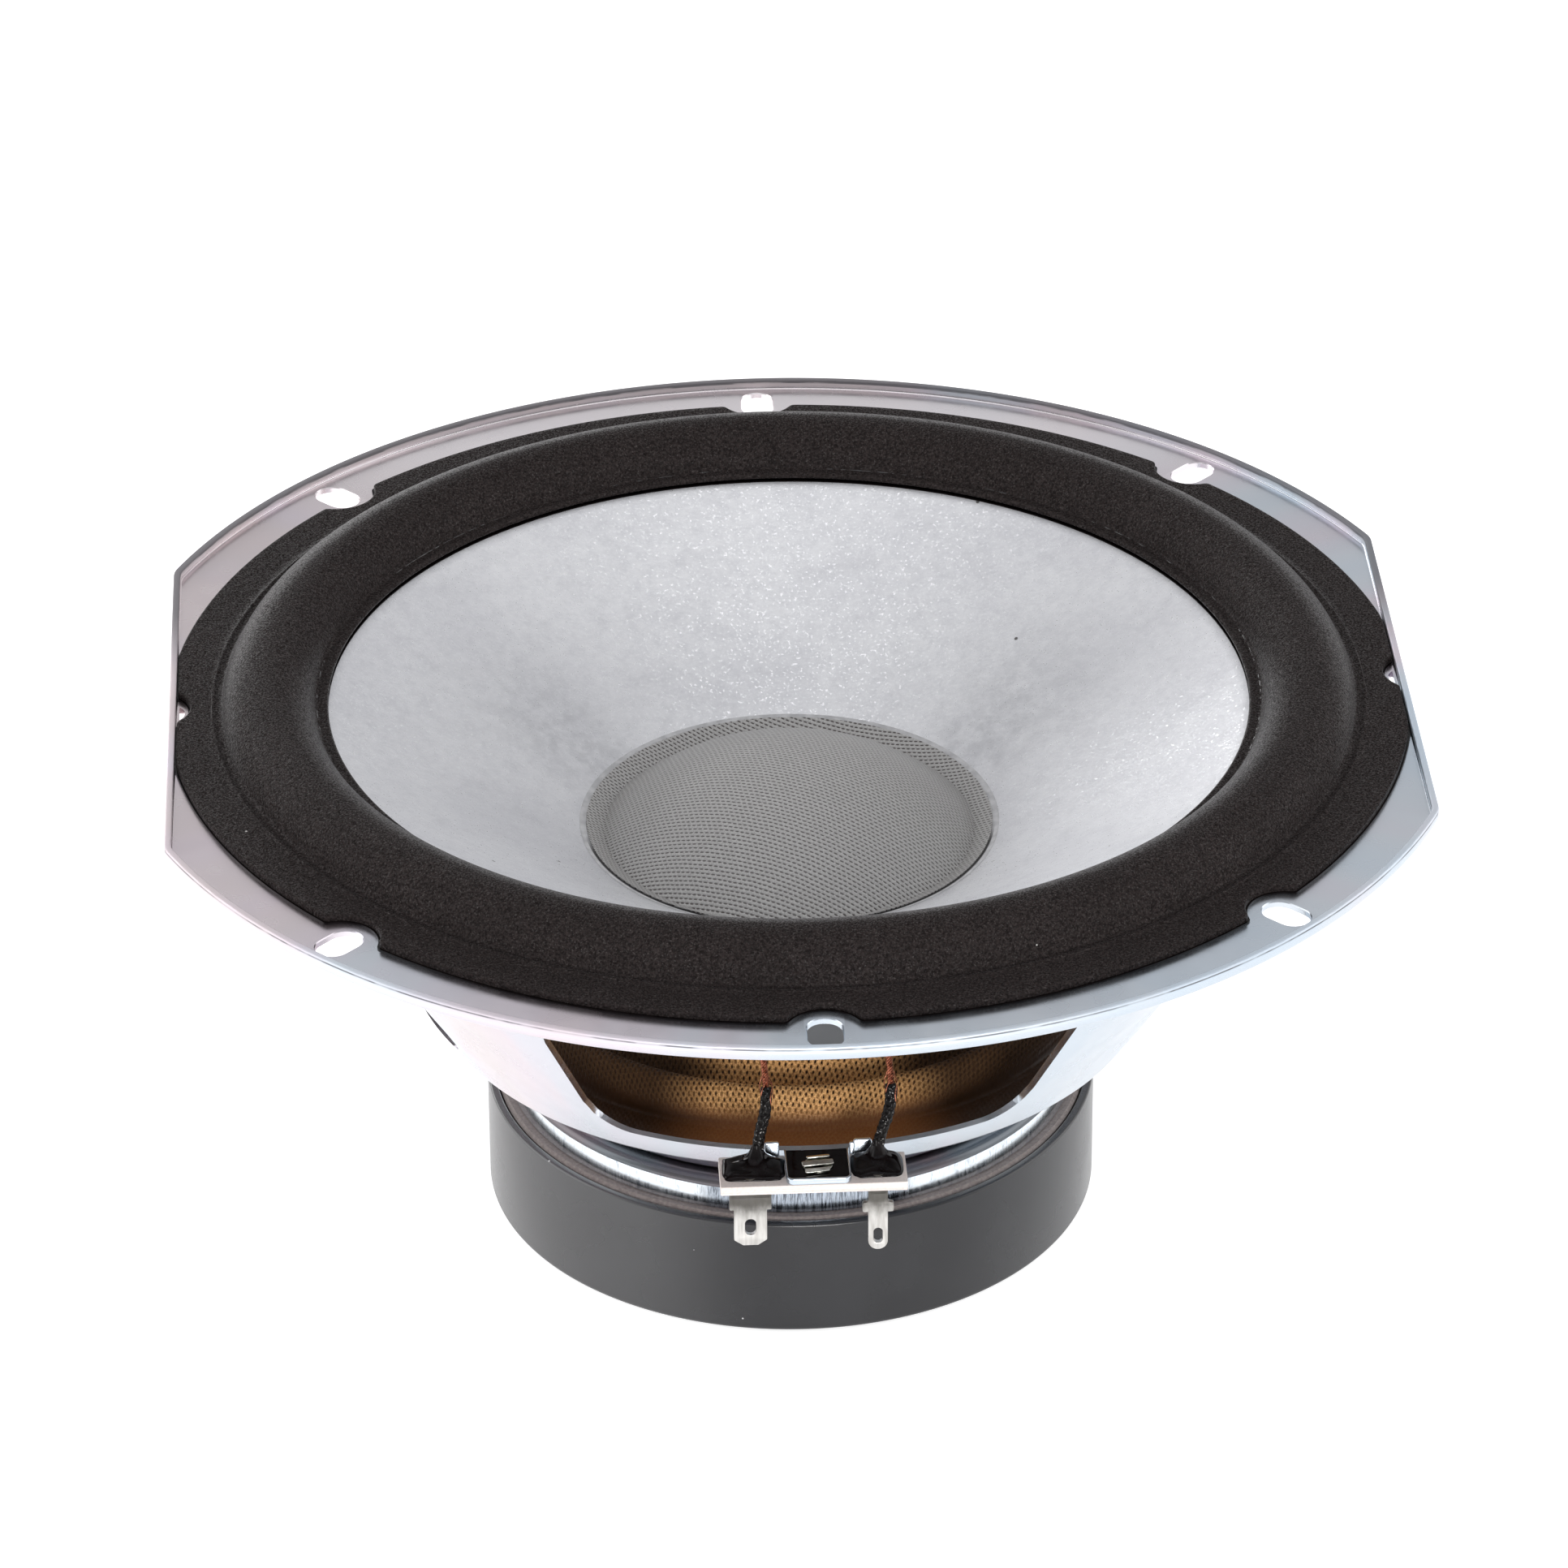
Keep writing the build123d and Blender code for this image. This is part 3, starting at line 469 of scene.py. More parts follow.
def weave(s, across, along, hole, turn):
    """An open weave with its holes staggered: how near to a hole, and the threads' height."""
    flat = s.add("ShaderNodeUVMap", uv_map="cloth").outputs[0]
    wander = s.noise(6 * mm, 2, place=flat, kind="Color")
    shift = s.add("ShaderNodeVectorMath", {0: wander, 1: (-0.5, -0.5, 0)}, operation="ADD")
    scaled = s.add("ShaderNodeVectorMath", {0: shift.outputs[0], "Scale": 0.5 * across}, operation="SCALE")
    bent = s.add("ShaderNodeVectorMath", {0: flat, 1: scaled.outputs[0]}, operation="ADD").outputs[0]
    turned_flat = s.stretched((1, 1, 1), turn, bent)
    u = s.math("DIVIDE", s.axis("X", turned_flat), across)
    v = s.math("DIVIDE", s.axis("Y", turned_flat), along)
    row = s.times(s.math("FLOORED_MODULO", s.math("FLOOR", v), 2.0), 0.5)
    in_u = s.math("SUBTRACT", s.math("FRACT", s.math("ADD", u, row)), 0.5)
    in_v = s.math("SUBTRACT", s.math("FRACT", v), 0.5)
    reach_u = s.math("POWER", s.math("DIVIDE", in_u, hole[0]), 2.0)
    reach_v = s.math("POWER", s.math("DIVIDE", in_v, hole[1]), 2.0)
    far = s.math("SQRT", s.math("ADD", reach_u, reach_v))
    return s.ranged(far, 1.25, 0.7), s.ranged(far, 0.7, 2.2)


def spider_cloth():
    """Golden-brown open weave, stiffened with resin, soaked dark at the landing, with painted shade
    round its holes, near the middle and behind the basket's pillars."""
    s = Shader("spider_cloth")
    holes, height = weave(s, 0.80 * mm, 0.84 * mm, (0.15, 0.36), radians(10))
    yarn = s.noise(0.22 * mm, 3, 0.6, s.stretched((1, 0.4, 1), 0.7))
    shade = s.noise(6 * mm, 2)
    tone = s.mix(s.ranged(yarn, 0.3, 0.7), (0.34, 0.165, 0.055), (0.98, 0.56, 0.235))
    tone = s.mix(s.ranged(shade, 0.3, 0.7, 0.0, 0.3), tone, (0.46, 0.225, 0.075))
    # Painted shade round each hole, where the threads dip.
    tone = s.mix(s.ranged(height, 0.75, 0.1, 0.0, 0.55), tone, (0.26, 0.115, 0.035))
    soaked = s.ranged(s.radius(), 44.6 * mm, 46.2 * mm)
    dry = s.math("SUBTRACT", 1.0, soaked)
    open_holes = s.times(holes, s.ranged(s.noise(0.9 * mm, 1), 0.30, 0.52, 0.35, 1.0))
    tone = s.mix(s.times(open_holes, dry), tone, (0.016, 0.007, 0.002))
    tone = s.mix(s.times(soaked, 0.9), tone, (0.24, 0.085, 0.026))
    # Painted shade: darker towards the middle, under the cone.
    inner = s.ranged(s.radius(), 24 * mm, 37 * mm, 0.8, 0.0)
    tone = s.mix(inner, tone, (0.022, 0.012, 0.006))
    # Painted shade behind the basket's pillars, every quarter turn.
    round_axis = s.math("ARCTAN2", s.axis("Y"), s.axis("X"))
    pillar_shade = s.ranged(s.math("COSINE", s.times(round_axis, 4.0)), 0.75, -0.50, 0.0, 0.95)
    tone = s.mix(pillar_shade, tone, (0.030, 0.013, 0.005))
    s.set(
        Base_Color=tone,
        Roughness=s.ranged(soaked, 0.0, 1.0, 0.7, 0.3),
        Specular_IOR_Level=0.14,
    )
    s.bump(s.times(height, s.ranged(soaked, 0.0, 1.0, 1.0, 0.12)), 0.20 * mm, 0.9)
    s.bump(s.times(yarn, dry), 0.05 * mm, 0.8)
    return s.material


def cap_cloth():
    """Grey woven cap, resin-coated, with dark dashes between the threads."""
    s = Shader("cap_cloth")
    holes, height = weave(s, 0.86 * mm, 0.70 * mm, (0.38, 0.17), radians(24))
    yarn = s.noise(0.2 * mm, 2)
    skirt = s.ranged(s.radius(), cap_dome_r - 1.2 * mm, cap_dome_r + 0.2 * mm)
    tone = s.mix(s.ranged(yarn, 0.3, 0.7), (0.315, 0.31, 0.305), (0.44, 0.434, 0.428))
    tone = s.mix(s.times(holes, s.ranged(skirt, 0.0, 1.0, 0.85, 1.0)), tone, (0.048, 0.038, 0.036))
    s.set(Base_Color=tone, Roughness=0.45, Specular_IOR_Level=0.5, Metallic=0.1)
    s.bump(height, 0.12 * mm, 0.8)
    return s.material


def rubber():
    """Satin black-grey rubber with faint clouds and a few pale specks."""
    s = Shader("boot_rubber")
    cloud = s.noise(12 * mm, 3)
    fine = s.noise(0.5 * mm, 3)
    tone = s.mix(s.ranged(cloud, 0.3, 0.75), (0.0095, 0.0095, 0.011), (0.014, 0.014, 0.016))
    speck = s.ranged(s.cells(6.5 * mm), 0.032, 0.020, 0.0, 0.85)
    tone = s.mix(speck, tone, (0.50, 0.50, 0.50))
    s.set(
        Base_Color=tone,
        Roughness=s.ranged(cloud, 0.3, 0.7, 0.25, 0.29),
        # Painted highlight: the gloss is stronger on the left side and a little on the right.
        Specular_IOR_Level=s.math(
            "ADD", s.ranged(s.axis("X"), -6 * mm, -25 * mm, 0.5, 1.0),
            s.ranged(s.axis("X"), 20 * mm, 40 * mm, 0.0, 0.14),
        ),
    )
    s.bump(fine, 0.006 * mm, 0.4)
    return s.material


def grained(name, size, detail, tones, depth, strength, stretch=None, **surface):
    """A plain surface whose one grain gives its two tones and its relief."""
    s = Shader(name)
    grain = s.noise(size, detail, place=s.stretched(stretch) if stretch else None)
    s.set(Base_Color=s.mix(s.ranged(grain, 0.3, 0.7), *tones), **surface)
    s.bump(grain, depth, strength)
    return s.material


def ferrite():
    tones = (0.13, 0.105, 0.098), (0.19, 0.160, 0.150)
    return grained("ferrite", 0.5 * mm, 3, tones, 0.02 * mm, 0.6, Roughness=0.55, Specular_IOR_Level=0.5)


def glue(name="black_glue", shine=0.13, wave=2.2 * mm, colour=(0.0035, 0.0025, 0.0025)):
    """Black contact glue, glossy where it pooled."""
    s = Shader(name)
    waves = s.noise(wave, 2)
    tone = s.mix(s.ranged(waves, 0.3, 0.7), colour, tuple(c * 1.8 for c in colour))
    s.set(Base_Color=tone, Roughness=s.ranged(waves, 0.3, 0.7, 0.05, 0.14), Specular_IOR_Level=shine)
    s.bump(waves, 0.10 * mm, 0.4)
    return s.material


def clear_glue():
    """Clear glue over the paper, with a painted shadow just outside the skirt's edge at the front."""
    s = Shader("clear_glue")
    waves = s.noise(1.8 * mm, 3)
    tone = s.mix(s.ranged(waves, 0.3, 0.7), (0.36, 0.36, 0.37), (0.50, 0.50, 0.51))
    # Painted shadow: a dark line just outside the skirt, at the front only.
    near_skirt = s.ranged(s.radius(), cap_r + 0.42 * mm, cap_r + 0.26 * mm)
    in_front = s.ranged(s.axis("Y"), -2 * mm, -9 * mm)
    tone = s.mix(s.times(near_skirt, in_front), tone, (0.006, 0.005, 0.005))
    s.set(Base_Color=tone, Roughness=0.25, Specular_IOR_Level=0.4)
    s.bump(waves, 0.06 * mm, 0.6)
    return s.material


def board_laminate():
    s = Shader("board_laminate")
    layers = s.noise(2.5 * mm, 3, place=s.stretched((0.15, 0.3, 6)))
    fibre = s.noise(0.4 * mm, 3)
    tone = s.mix(s.ranged(layers, 0.3, 0.7), (0.66, 0.58, 0.54), (0.78, 0.72, 0.68))
    tone = s.mix(s.ranged(fibre, 0.4, 0.8, 0.0, 0.4), tone, (0.50, 0.42, 0.38))
    s.set(Base_Color=tone, Roughness=0.6, Specular_IOR_Level=0.3)
    s.bump(fibre, 0.02 * mm, 0.5)
    return s.material


def tinned():
    """Tin plate, brushed along its length, with painted shade at its top, under the board."""
    s = Shader("tinned_brass")
    streaks = s.noise(0.5 * mm, 3, 0.5, s.stretched((1, 1, 0.12)))
    shade_wobble = s.noise(1.6 * mm, 3, 0.6, s.stretched((1, 1, 0.5)))
    tone = s.mix(s.ranged(streaks, 0.3, 0.7), (0.46, 0.445, 0.42), (0.62, 0.605, 0.58))
    # Painted shade: the tab darkens towards the board above it, with a wavy edge.
    board_shade_height = s.math("ADD", s.axis("Z"), s.times(shade_wobble, 3.0 * mm))
    tone = s.mix(s.ranged(board_shade_height, 33.6 * mm, 37.0 * mm, 0.0, 0.92), tone, (0.075, 0.070, 0.062))
    s.set(Base_Color=tone, Metallic=1.0, Roughness=s.ranged(streaks, 0.3, 0.7, 0.32, 0.46))
    s.bump(streaks, 0.01 * mm, 0.6)
    return s.material


def eyelet_brass():
    tones = (0.46, 0.45, 0.40), (0.72, 0.71, 0.64)
    return grained("eyelet_tin", 0.8 * mm, 3, tones, 0.02 * mm, 0.5, Metallic=1.0, Roughness=0.22)


def copper(name="copper_strand"):
    s = Shader(name)
    wear = s.noise(0.5 * mm, 2)
    tone = s.mix(s.ranged(wear, 0.3, 0.7), (0.15, 0.048, 0.028), (0.50, 0.185, 0.110))
    s.set(Base_Color=tone, Metallic=1.0, Roughness=s.ranged(wear, 0.3, 0.7, 0.25, 0.4))
    s.bump(wear, 0.01 * mm, 0.5)
    return s.material


def sleeve_braid():
    s = Shader("sleeve_braid")
    lumps = s.noise(0.35 * mm, 2)
    tone = s.mix(s.ranged(lumps, 0.3, 0.7), (0.0025, 0.002, 0.002), (0.008, 0.0065, 0.006))
    # Painted glints: pale flecks on the black braid.
    tone = s.mix(s.ranged(s.noise(0.28 * mm, 1), 0.68, 0.73, 0.0, 0.8), tone, (0.45, 0.43, 0.41))
    s.set(Base_Color=tone, Roughness=s.ranged(lumps, 0.3, 0.7, 0.10, 0.24), Specular_IOR_Level=0.10)
    s.bump(lumps, 0.05 * mm, 0.7)
    return s.material


def kraft_paper():
    tones = (0.24, 0.13, 0.055), (0.34, 0.20, 0.09)
    return grained("kraft_paper", 0.8 * mm, 4, tones, 0.03 * mm, 0.6, (1, 1, 0.3),
                   Roughness=0.75, Specular_IOR_Level=0.3)


def wound_copper():
    """Enamelled wire: one turn every 0.35 mm."""
    s = Shader("wound_copper")
    turns = s.math("SINE", s.times(s.axis("Z"), 2 * pi / (0.35 * mm)))
    tone = s.mix(s.ranged(turns, -1, 1), (0.22, 0.07, 0.03), (0.62, 0.24, 0.11))
    s.set(Base_Color=tone, Metallic=1.0, Roughness=0.3)
    s.bump(turns, 0.08 * mm, 0.8)
    return s.material


def rough_steel():
    """The top plate's turned edge: bright, with upright scratches and pits, and the board's shadow and
    dark reflection painted on it under the terminal board."""
    s = Shader("plate_edge")
    theta = s.math("ARCTAN2", s.axis("Y"), s.axis("X"))
    spread = s.add("ShaderNodeCombineXYZ", {0: s.times(theta, plate_r), 2: s.axis("Z")})
    lines = s.noise(0.30 * mm, 4, 0.7, s.stretched((1, 1, 0.10), 0.0, spread.outputs[0]))
    pits = s.noise(1.6 * mm, 4, 0.65, s.stretched((1, 1, 0.6), 0.0, spread.outputs[0]))
    tone = s.mix(s.ranged(lines, 0.30, 0.48), (0.42, 0.47, 0.54), (0.86, 0.91, 0.95))
    tone = s.mix(s.ranged(pits, 0.52, 0.72, 0.0, 0.6), tone, (0.30, 0.35, 0.42))
    # Painted shadow and dark reflection of the board, streaked, on the edge below it.
    board_shade_mask = s.times(s.ranged(s.math("ABSOLUTE", s.axis("X")), 17 * mm, 13 * mm),
                          s.ranged(s.axis("Y"), -20 * mm, -30 * mm))
    streaked_board_shade = s.mix(s.ranged(lines, 0.35, 0.60), (0.06, 0.07, 0.09), (0.42, 0.47, 0.54))
    tone = s.mix(s.times(board_shade_mask, 0.92), tone, streaked_board_shade)
    s.set(Base_Color=tone, Metallic=1.0, Roughness=s.ranged(lines, 0.3, 0.7, 0.12, 0.26))
    s.bump(lines, 0.02 * mm, 0.4)
    return s.material


# ---------------------------------------------------------------- mesh helpers


def arc(centre, radius, start, end, steps):
    """Points along an arc, by angle in degrees."""
    turns = np.radians(np.linspace(start, end, steps + 1))
    return [(centre[0] + radius * cos(t), centre[1] + radius * sin(t)) for t in turns]


def rounded(points, radii, closed=True, steps=6):
    """A polygon or an open line whose corners are arcs of these radii."""
    made = []
    count = len(points)
    for index, (corner, radius) in enumerate(zip(points, radii)):
        here = Vector(corner)
        if not radius or (not closed and index in (0, count - 1)):
            made.append(tuple(here))
            continue
        before = (Vector(points[index - 1]) - here).normalized()
        after = (Vector(points[(index + 1) % count]) - here).normalized()
        half = before.angle(after) / 2
        middle = here + (before + after).normalized() * (radius / sin(half))
        first = here + before * (radius / tan(half)) - middle
        sweep = (pi - 2 * half) * (1 if before.cross(first) > 0 else -1)
        for step in range(steps + 1):
            made.append(tuple(middle + Matrix.Rotation(sweep * step / steps, 2) @ first))
    return made


def offset_line(points, distance):
    """The same open line moved to its left by distance."""
    line = np.array(points)
    runs = np.diff(line, axis=0)
    sides = np.stack([-runs[:, 1], runs[:, 0]], 1) / np.linalg.norm(runs, axis=1)[:, None]
    before, after = np.vstack([sides[:1], sides]), np.vstack([sides, sides[-1:]])
    middle = before + after
    middle /= np.linalg.norm(middle, axis=1)[:, None]
    lengthened = middle / np.sum(middle * after, axis=1)[:, None]
    return [tuple(p) for p in line + lengthened * distance]


def mesh_piece(name, points, faces, material, crease=35):
    """A named mesh object, facing outwards and smooth up to the crease angle."""
    data = bpy.data.meshes.new(name)
    data.from_pydata([tuple(p) for p in points], [], faces)
    work = bmesh.new()
    work.from_mesh(data)
    bmesh.ops.recalc_face_normals(work, faces=work.faces)
    work.to_mesh(data)
    work.free()
    data.materials.append(material)
    data.shade_smooth()
    data.set_sharp_from_angle(angle=radians(crease))
    return new_object(name, data)


def lay_flat(piece, flat):
    """Gives the piece its cloth map: each point's place on the flat sheet."""
    corners = np.zeros(len(piece.data.loops), int)
    piece.data.loops.foreach_get("vertex_index", corners)
    cloth = piece.data.uv_layers.new(name="cloth")
    cloth.data.foreach_set("uv", np.array(flat).reshape(-1, 2)[corners].ravel())
    return piece


def ring_faces(rings, around):
    """The quads between each ring of points and the next."""
    faces = []
    for ring in range(rings - 1):
        for k in range(around):
            here, beside = ring * around + k, ring * around + (k + 1) % around
            faces.append((here, beside, beside + around, here + around))
    return faces


def even_angles(count=720, dense=(), half_width=5.0, step=0.1):
    """Angles round the axis, evenly spaced, with more of them near the dense ones (degrees)."""
    angles = [360 * k / count for k in range(count)]
    for middle in dense:
        angles += list(np.arange(middle - half_width, middle + half_width, step) % 360)
    angles = np.unique(np.round(np.array(angles) % 360, 3))
    kept = angles[np.append(True, np.diff(angles) > step * 0.4)]
    return np.radians(kept)


def lathe(name, section, material, angles=None, reach=None, fixed_r=0, rim_r=0, band=0, crease=35):
    """A closed section turned about the axis. Outside fixed_r it is fitted to the outline that
    reach gives, and the last band of it keeps its distance from that outline."""
    angles = even_angles() if angles is None else angles
    section = np.array(section)
    radius = np.repeat(section[None, :, 0], len(angles), 0)
    if reach:
        inner = reach(angles, band)[:, None]
        stretched = fixed_r + (radius - fixed_r) * (inner - fixed_r) / (rim_r - band - fixed_r)
        edge = np.stack([reach(angles, rim_r - r) for r in section[:, 0]], 1)
        outside = section[None, :, 0] > fixed_r
        near_edge = section[None, :, 0] > rim_r - band
        radius = np.where(near_edge, edge, np.where(outside, stretched, radius))
    rows, columns = radius.shape
    height = np.repeat(section[None, :, 1], rows, 0)
    points = np.stack([radius * np.cos(angles)[:, None], radius * np.sin(angles)[:, None], height], 2)
    index = np.arange(rows * columns).reshape(rows, columns)
    following = np.roll(index, -1, 0)
    beside, beyond = np.roll(index, -1, 1), np.roll(following, -1, 1)
    faces = np.stack([index, beside, beyond, following], 2).reshape(-1, 4).tolist()
    piece = mesh_piece(name, points.reshape(-1, 3), faces, material, crease)
    steps = np.linalg.norm(np.diff(section, axis=0), axis=1)
    travelled = section[0, 0] + np.concatenate([[0], np.cumsum(steps)]) * np.sign(
        section[len(section) // 4, 0] - section[0, 0] + 1e-9
    )
    flat = np.stack([np.outer(np.cos(angles), travelled), np.outer(np.sin(angles), travelled)], 2)
    return lay_flat(piece, flat)


def solid_of_revolution(name, section, material, count=360, crease=35):
    """A section that starts and ends on the axis, closed there by a fan."""
    section = np.array(section)
    angles = even_angles(count)
    inner = section[1:-1]
    rows, columns = len(angles), len(inner)
    points = [(r * cos(a), r * sin(a), z) for a in angles for r, z in inner]
    points += [(0, 0, section[0, 1]), (0, 0, section[-1, 1])]
    first, last = rows * columns, rows * columns + 1
    faces = []
    for row in range(rows):
        ahead = (row + 1) % rows
        for column in range(columns - 1):
            here, there = row * columns + column, ahead * columns + column
            faces.append((here, here + 1, there + 1, there))
        faces.append((first, row * columns, ahead * columns))
        faces.append((last, ahead * columns + columns - 1, row * columns + columns - 1))
    piece = mesh_piece(name, points, faces, material, crease)
    steps = np.linalg.norm(np.diff(section, axis=0), axis=1)
    travelled = np.concatenate([[0], np.cumsum(steps)])
    spread = [(travelled[k + 1] * cos(a), travelled[k + 1] * sin(a)) for a in angles for k in range(columns)]
    spread += [(0, 0), (0, 0)]
    return lay_flat(piece, spread)


def soft_min(first, second, blend):
    share = np.clip(0.5 + 0.5 * (second - first) / blend, 0, 1)
    return second * (1 - share) + first * share - blend * share * (1 - share)


def prism(name, outline, levels):
    """A solid cutter: the outline at each level, as (height, scaled outwards by)."""
    outline = np.array(outline)
    middle = outline.mean(0)
    away = outline - middle
    away /= np.linalg.norm(away, axis=1)[:, None]
    count = len(outline)
    points = [(x, y, height) for height, grow in levels for x, y in outline + away * grow]
    faces = ring_faces(len(levels), count)
    faces.append(tuple(range(count))[::-1])
    faces.append(tuple(range((len(levels) - 1) * count, len(levels) * count)))
    return mesh_piece(name, points, faces, None)


def evaluated(source):
    """The object's mesh with its modifiers applied, or its curve as a mesh."""
    depsgraph = bpy.context.evaluated_depsgraph_get()
    return bpy.data.meshes.new_from_object(source.evaluated_get(depsgraph))


def cut(piece, cutters):
    """Takes the cutters out of the piece and deletes them."""
    for cutter in cutters:
        modifier = piece.modifiers.new("cut", "BOOLEAN")
        modifier.object = cutter
        modifier.solver = "EXACT"
    shape = evaluated(piece)
    piece.modifiers.clear()
    piece.data = shape
    for cutter in cutters:
        bpy.data.objects.remove(cutter)
    shape.shade_smooth()
    shape.set_sharp_from_angle(angle=radians(30))


def plate(name, outline, thickness, material, holes=(), bevel=0.1 * mm, place=Matrix()):
    """A flat plate with rounded edges. The outline lies in the plane and place carries it there."""
    curve = bpy.data.curves.new(name, "CURVE")
    curve.dimensions = "2D"
    curve.fill_mode = "BOTH"
    curve.extrude = (thickness / 2 - bevel) / mm
    curve.bevel_depth = bevel / mm
    curve.bevel_resolution = 2
    curve.offset = -bevel / mm
    for line in (outline, *holes):
        spline = curve.splines.new("POLY")
        spline.points.add(len(line) - 1)
        for point, (x, y) in zip(spline.points, line):
            point.co = (x / mm, y / mm, 0, 1)
        spline.use_cyclic_u = True
    source = new_object(name, curve)
    data = evaluated(source)
    bpy.data.objects.remove(source)
    data.transform(place @ Matrix.Scale(mm, 4))
    work = bmesh.new()
    work.from_mesh(data)
    bmesh.ops.remove_doubles(work, verts=work.verts, dist=1e-3 * mm)
    bmesh.ops.recalc_face_normals(work, faces=work.faces)
    work.to_mesh(data)
    work.free()
    data.materials.clear()
    data.materials.append(material)
    data.shade_smooth()
    data.set_sharp_from_angle(angle=radians(40))
    return new_object(name, data)


def join(name, pieces):
    """Several meshes as one piece."""
    bpy.ops.object.select_all(action="DESELECT")
    for piece in pieces:
        piece.select_set(True)
    bpy.context.view_layer.objects.active = pieces[0]
    bpy.ops.object.join()
    pieces[0].name = name
    pieces[0].data.name = name
    return pieces[0]


def rectangle(left, right, bottom, top, radius, steps=5):
    corners = [(left, bottom), (right, bottom), (right, top), (left, top)]
    return rounded(corners, [radius] * 4, steps=steps)


def slot_outline(length, width, steps=12):
    """A slot about the origin, along X."""
    reach = length / 2 - width / 2
    return arc((reach, 0), width / 2, -90, 90, steps) + arc((-reach, 0), width / 2, 90, 270, steps)


def settle(piece, body, slot, *nodes):
    """The piece rides on its body and stands for the nodes; the slot is not used."""
    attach(piece, body)
    if nodes:
        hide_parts(*nodes)
    return piece


def follow(piece, weights, slot, *nodes):
    """The piece keeps its place, its transform baked in, and stands for the nodes; the weights are not used.
    """
    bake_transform(piece)
    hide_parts(*nodes)
    return piece


def radii_of(piece):
    """Each point's distance from the axis."""
    flat = np.zeros(len(piece.data.vertices) * 3)
    piece.data.vertices.foreach_get("co", flat)
    return np.hypot(flat[0::3], flat[1::3])


def eased(value, start, end):
    share = np.clip((value - start) / (end - start), 0, 1)
    return share * share * (3 - 2 * share)


# ---------------------------------------------------------------- basket

zinc_plate = zinc()


def flatted(angle, radius, flat):
    """A circle with two flats, blended at the corners."""
    return soft_min(radius, flat / np.maximum(np.abs(np.cos(angle)), 1e-6), 0.5 * mm)


def flange_edge(angle, inset):
    """The flange's outline moved in by inset: a circle with two flats."""
    return flatted(angle, frame_r - inset, flat_x - inset)


def slot_cutter(angle):
    outline = [(slot_circle_r + x, y) for x, y in slot_outline(slot_length, slot_width)]
    return turned(outline, angle)


def turned(outline, angle):
    c, s = cos(angle), sin(angle)
    return [(x * c - y * s, x * s + y * c) for x, y in outline]


def window_cutter(middle):
    """A sector with upright sides, rounded where its sides meet its head and foot."""
    columns = []
    half = window_half_arc
    near_side = np.linspace(0, 0.115, 12)
    shares = np.concatenate([near_side, np.linspace(0.13, 0.87, 25), 1 - near_side[::-1]])
    for share in shares:
        angle = -half + 2 * half * share
        side = min(angle + half, half - angle)
        rises = []
        for radius in (wall_r(window_foot), wall_r(window_head)):
            gap = max(0.0, window_corner - radius * sin(side))
            rises.append(window_corner - sqrt(window_corner**2 - min(gap, window_corner) ** 2))
        columns.append((middle + angle, window_foot + rises[0], window_head - rises[1]))
    inner_r, outer_r = wall_r(window_foot) - 7 * mm, frame_r
    points, faces = [], []
    for angle, foot, head in columns:
        for radius, height in ((inner_r, foot), (outer_r, foot), (outer_r, head), (inner_r, head)):
            points.append((radius * cos(angle), radius * sin(angle), height))
    for k in range(len(columns) - 1):
        here, there = 4 * k, 4 * (k + 1)
        for a, b in ((0, 1), (1, 2), (2, 3), (3, 0)):
            faces.append((here + a, here + b, there + b, there + a))
    faces += [(3, 2, 1, 0), tuple(4 * (len(columns) - 1) + k for k in range(4))]
    return mesh_piece("window_cutter", points, faces, None)


def make_basket():
    bend = 1.2 * mm
    under = [
        (frame_r, lip_top),
        (frame_r, flange_z),
        (wall_r(flange_z), flange_z),
        wall_foot,
        (43.6 * mm, wall_foot[1]),
        (40.6 * mm, base_z),
        (22.0 * mm, base_z),
    ]
    outside = rounded(under, [0, bend, 3 * mm, 1.8 * mm, 1.5 * mm, 1.6 * mm, 0], closed=False, steps=8)
    inside = offset_line(outside, -sheet)
    loop = outside + inside[::-1]
    radii = [0.25 * mm] + [0] * (len(loop) - 2) + [0.25 * mm]
    corner = np.degrees(np.arccos(flat_x / frame_r))
    angles = even_angles(720, (corner, 180 - corner, 180 + corner, 360 - corner), 1.5)
    basket = lathe(
        "basket_shell", rounded(loop, radii, steps=3), zinc_plate, angles,
        reach=flange_edge, fixed_r=87 * mm, rim_r=frame_r, band=2.2 * mm,
    )
    chamfer = 0.14 * mm
    levels = [
        (flange_z - 0.6 * mm, chamfer + 0.6 * mm),
        (flange_z + chamfer, 0),
        (flange_top - chamfer, 0),
        (flange_top + 0.6 * mm, chamfer + 0.6 * mm),
    ]
    cutters = [prism("slot", slot_cutter(radians(a)), levels) for a in (45, 90, 135, 225, 270, 315)]
    moon_x = flat_x - sheet - 1.3 * mm + slot_width / 2
    moon = [p for p in arc((moon_x, 0), slot_width / 2, 100, 260, 20) if p[0] < flat_x - 1.35 * mm]
    deep = [(flange_z - 0.6 * mm, 0), (flange_top + 0.1 * mm, 0)]
    cutters += [prism("moon", turned(moon, a), deep) for a in (0, pi)]
    cutters += [window_cutter(radians(a)) for a in (0, 90, 180, 270)]
    cut(basket, cutters)
    settle(basket, "frame", "zinc_steel", "basket")


make_basket()

# ---------------------------------------------------------------- surround

notches = [45 * k for k in range(8)]


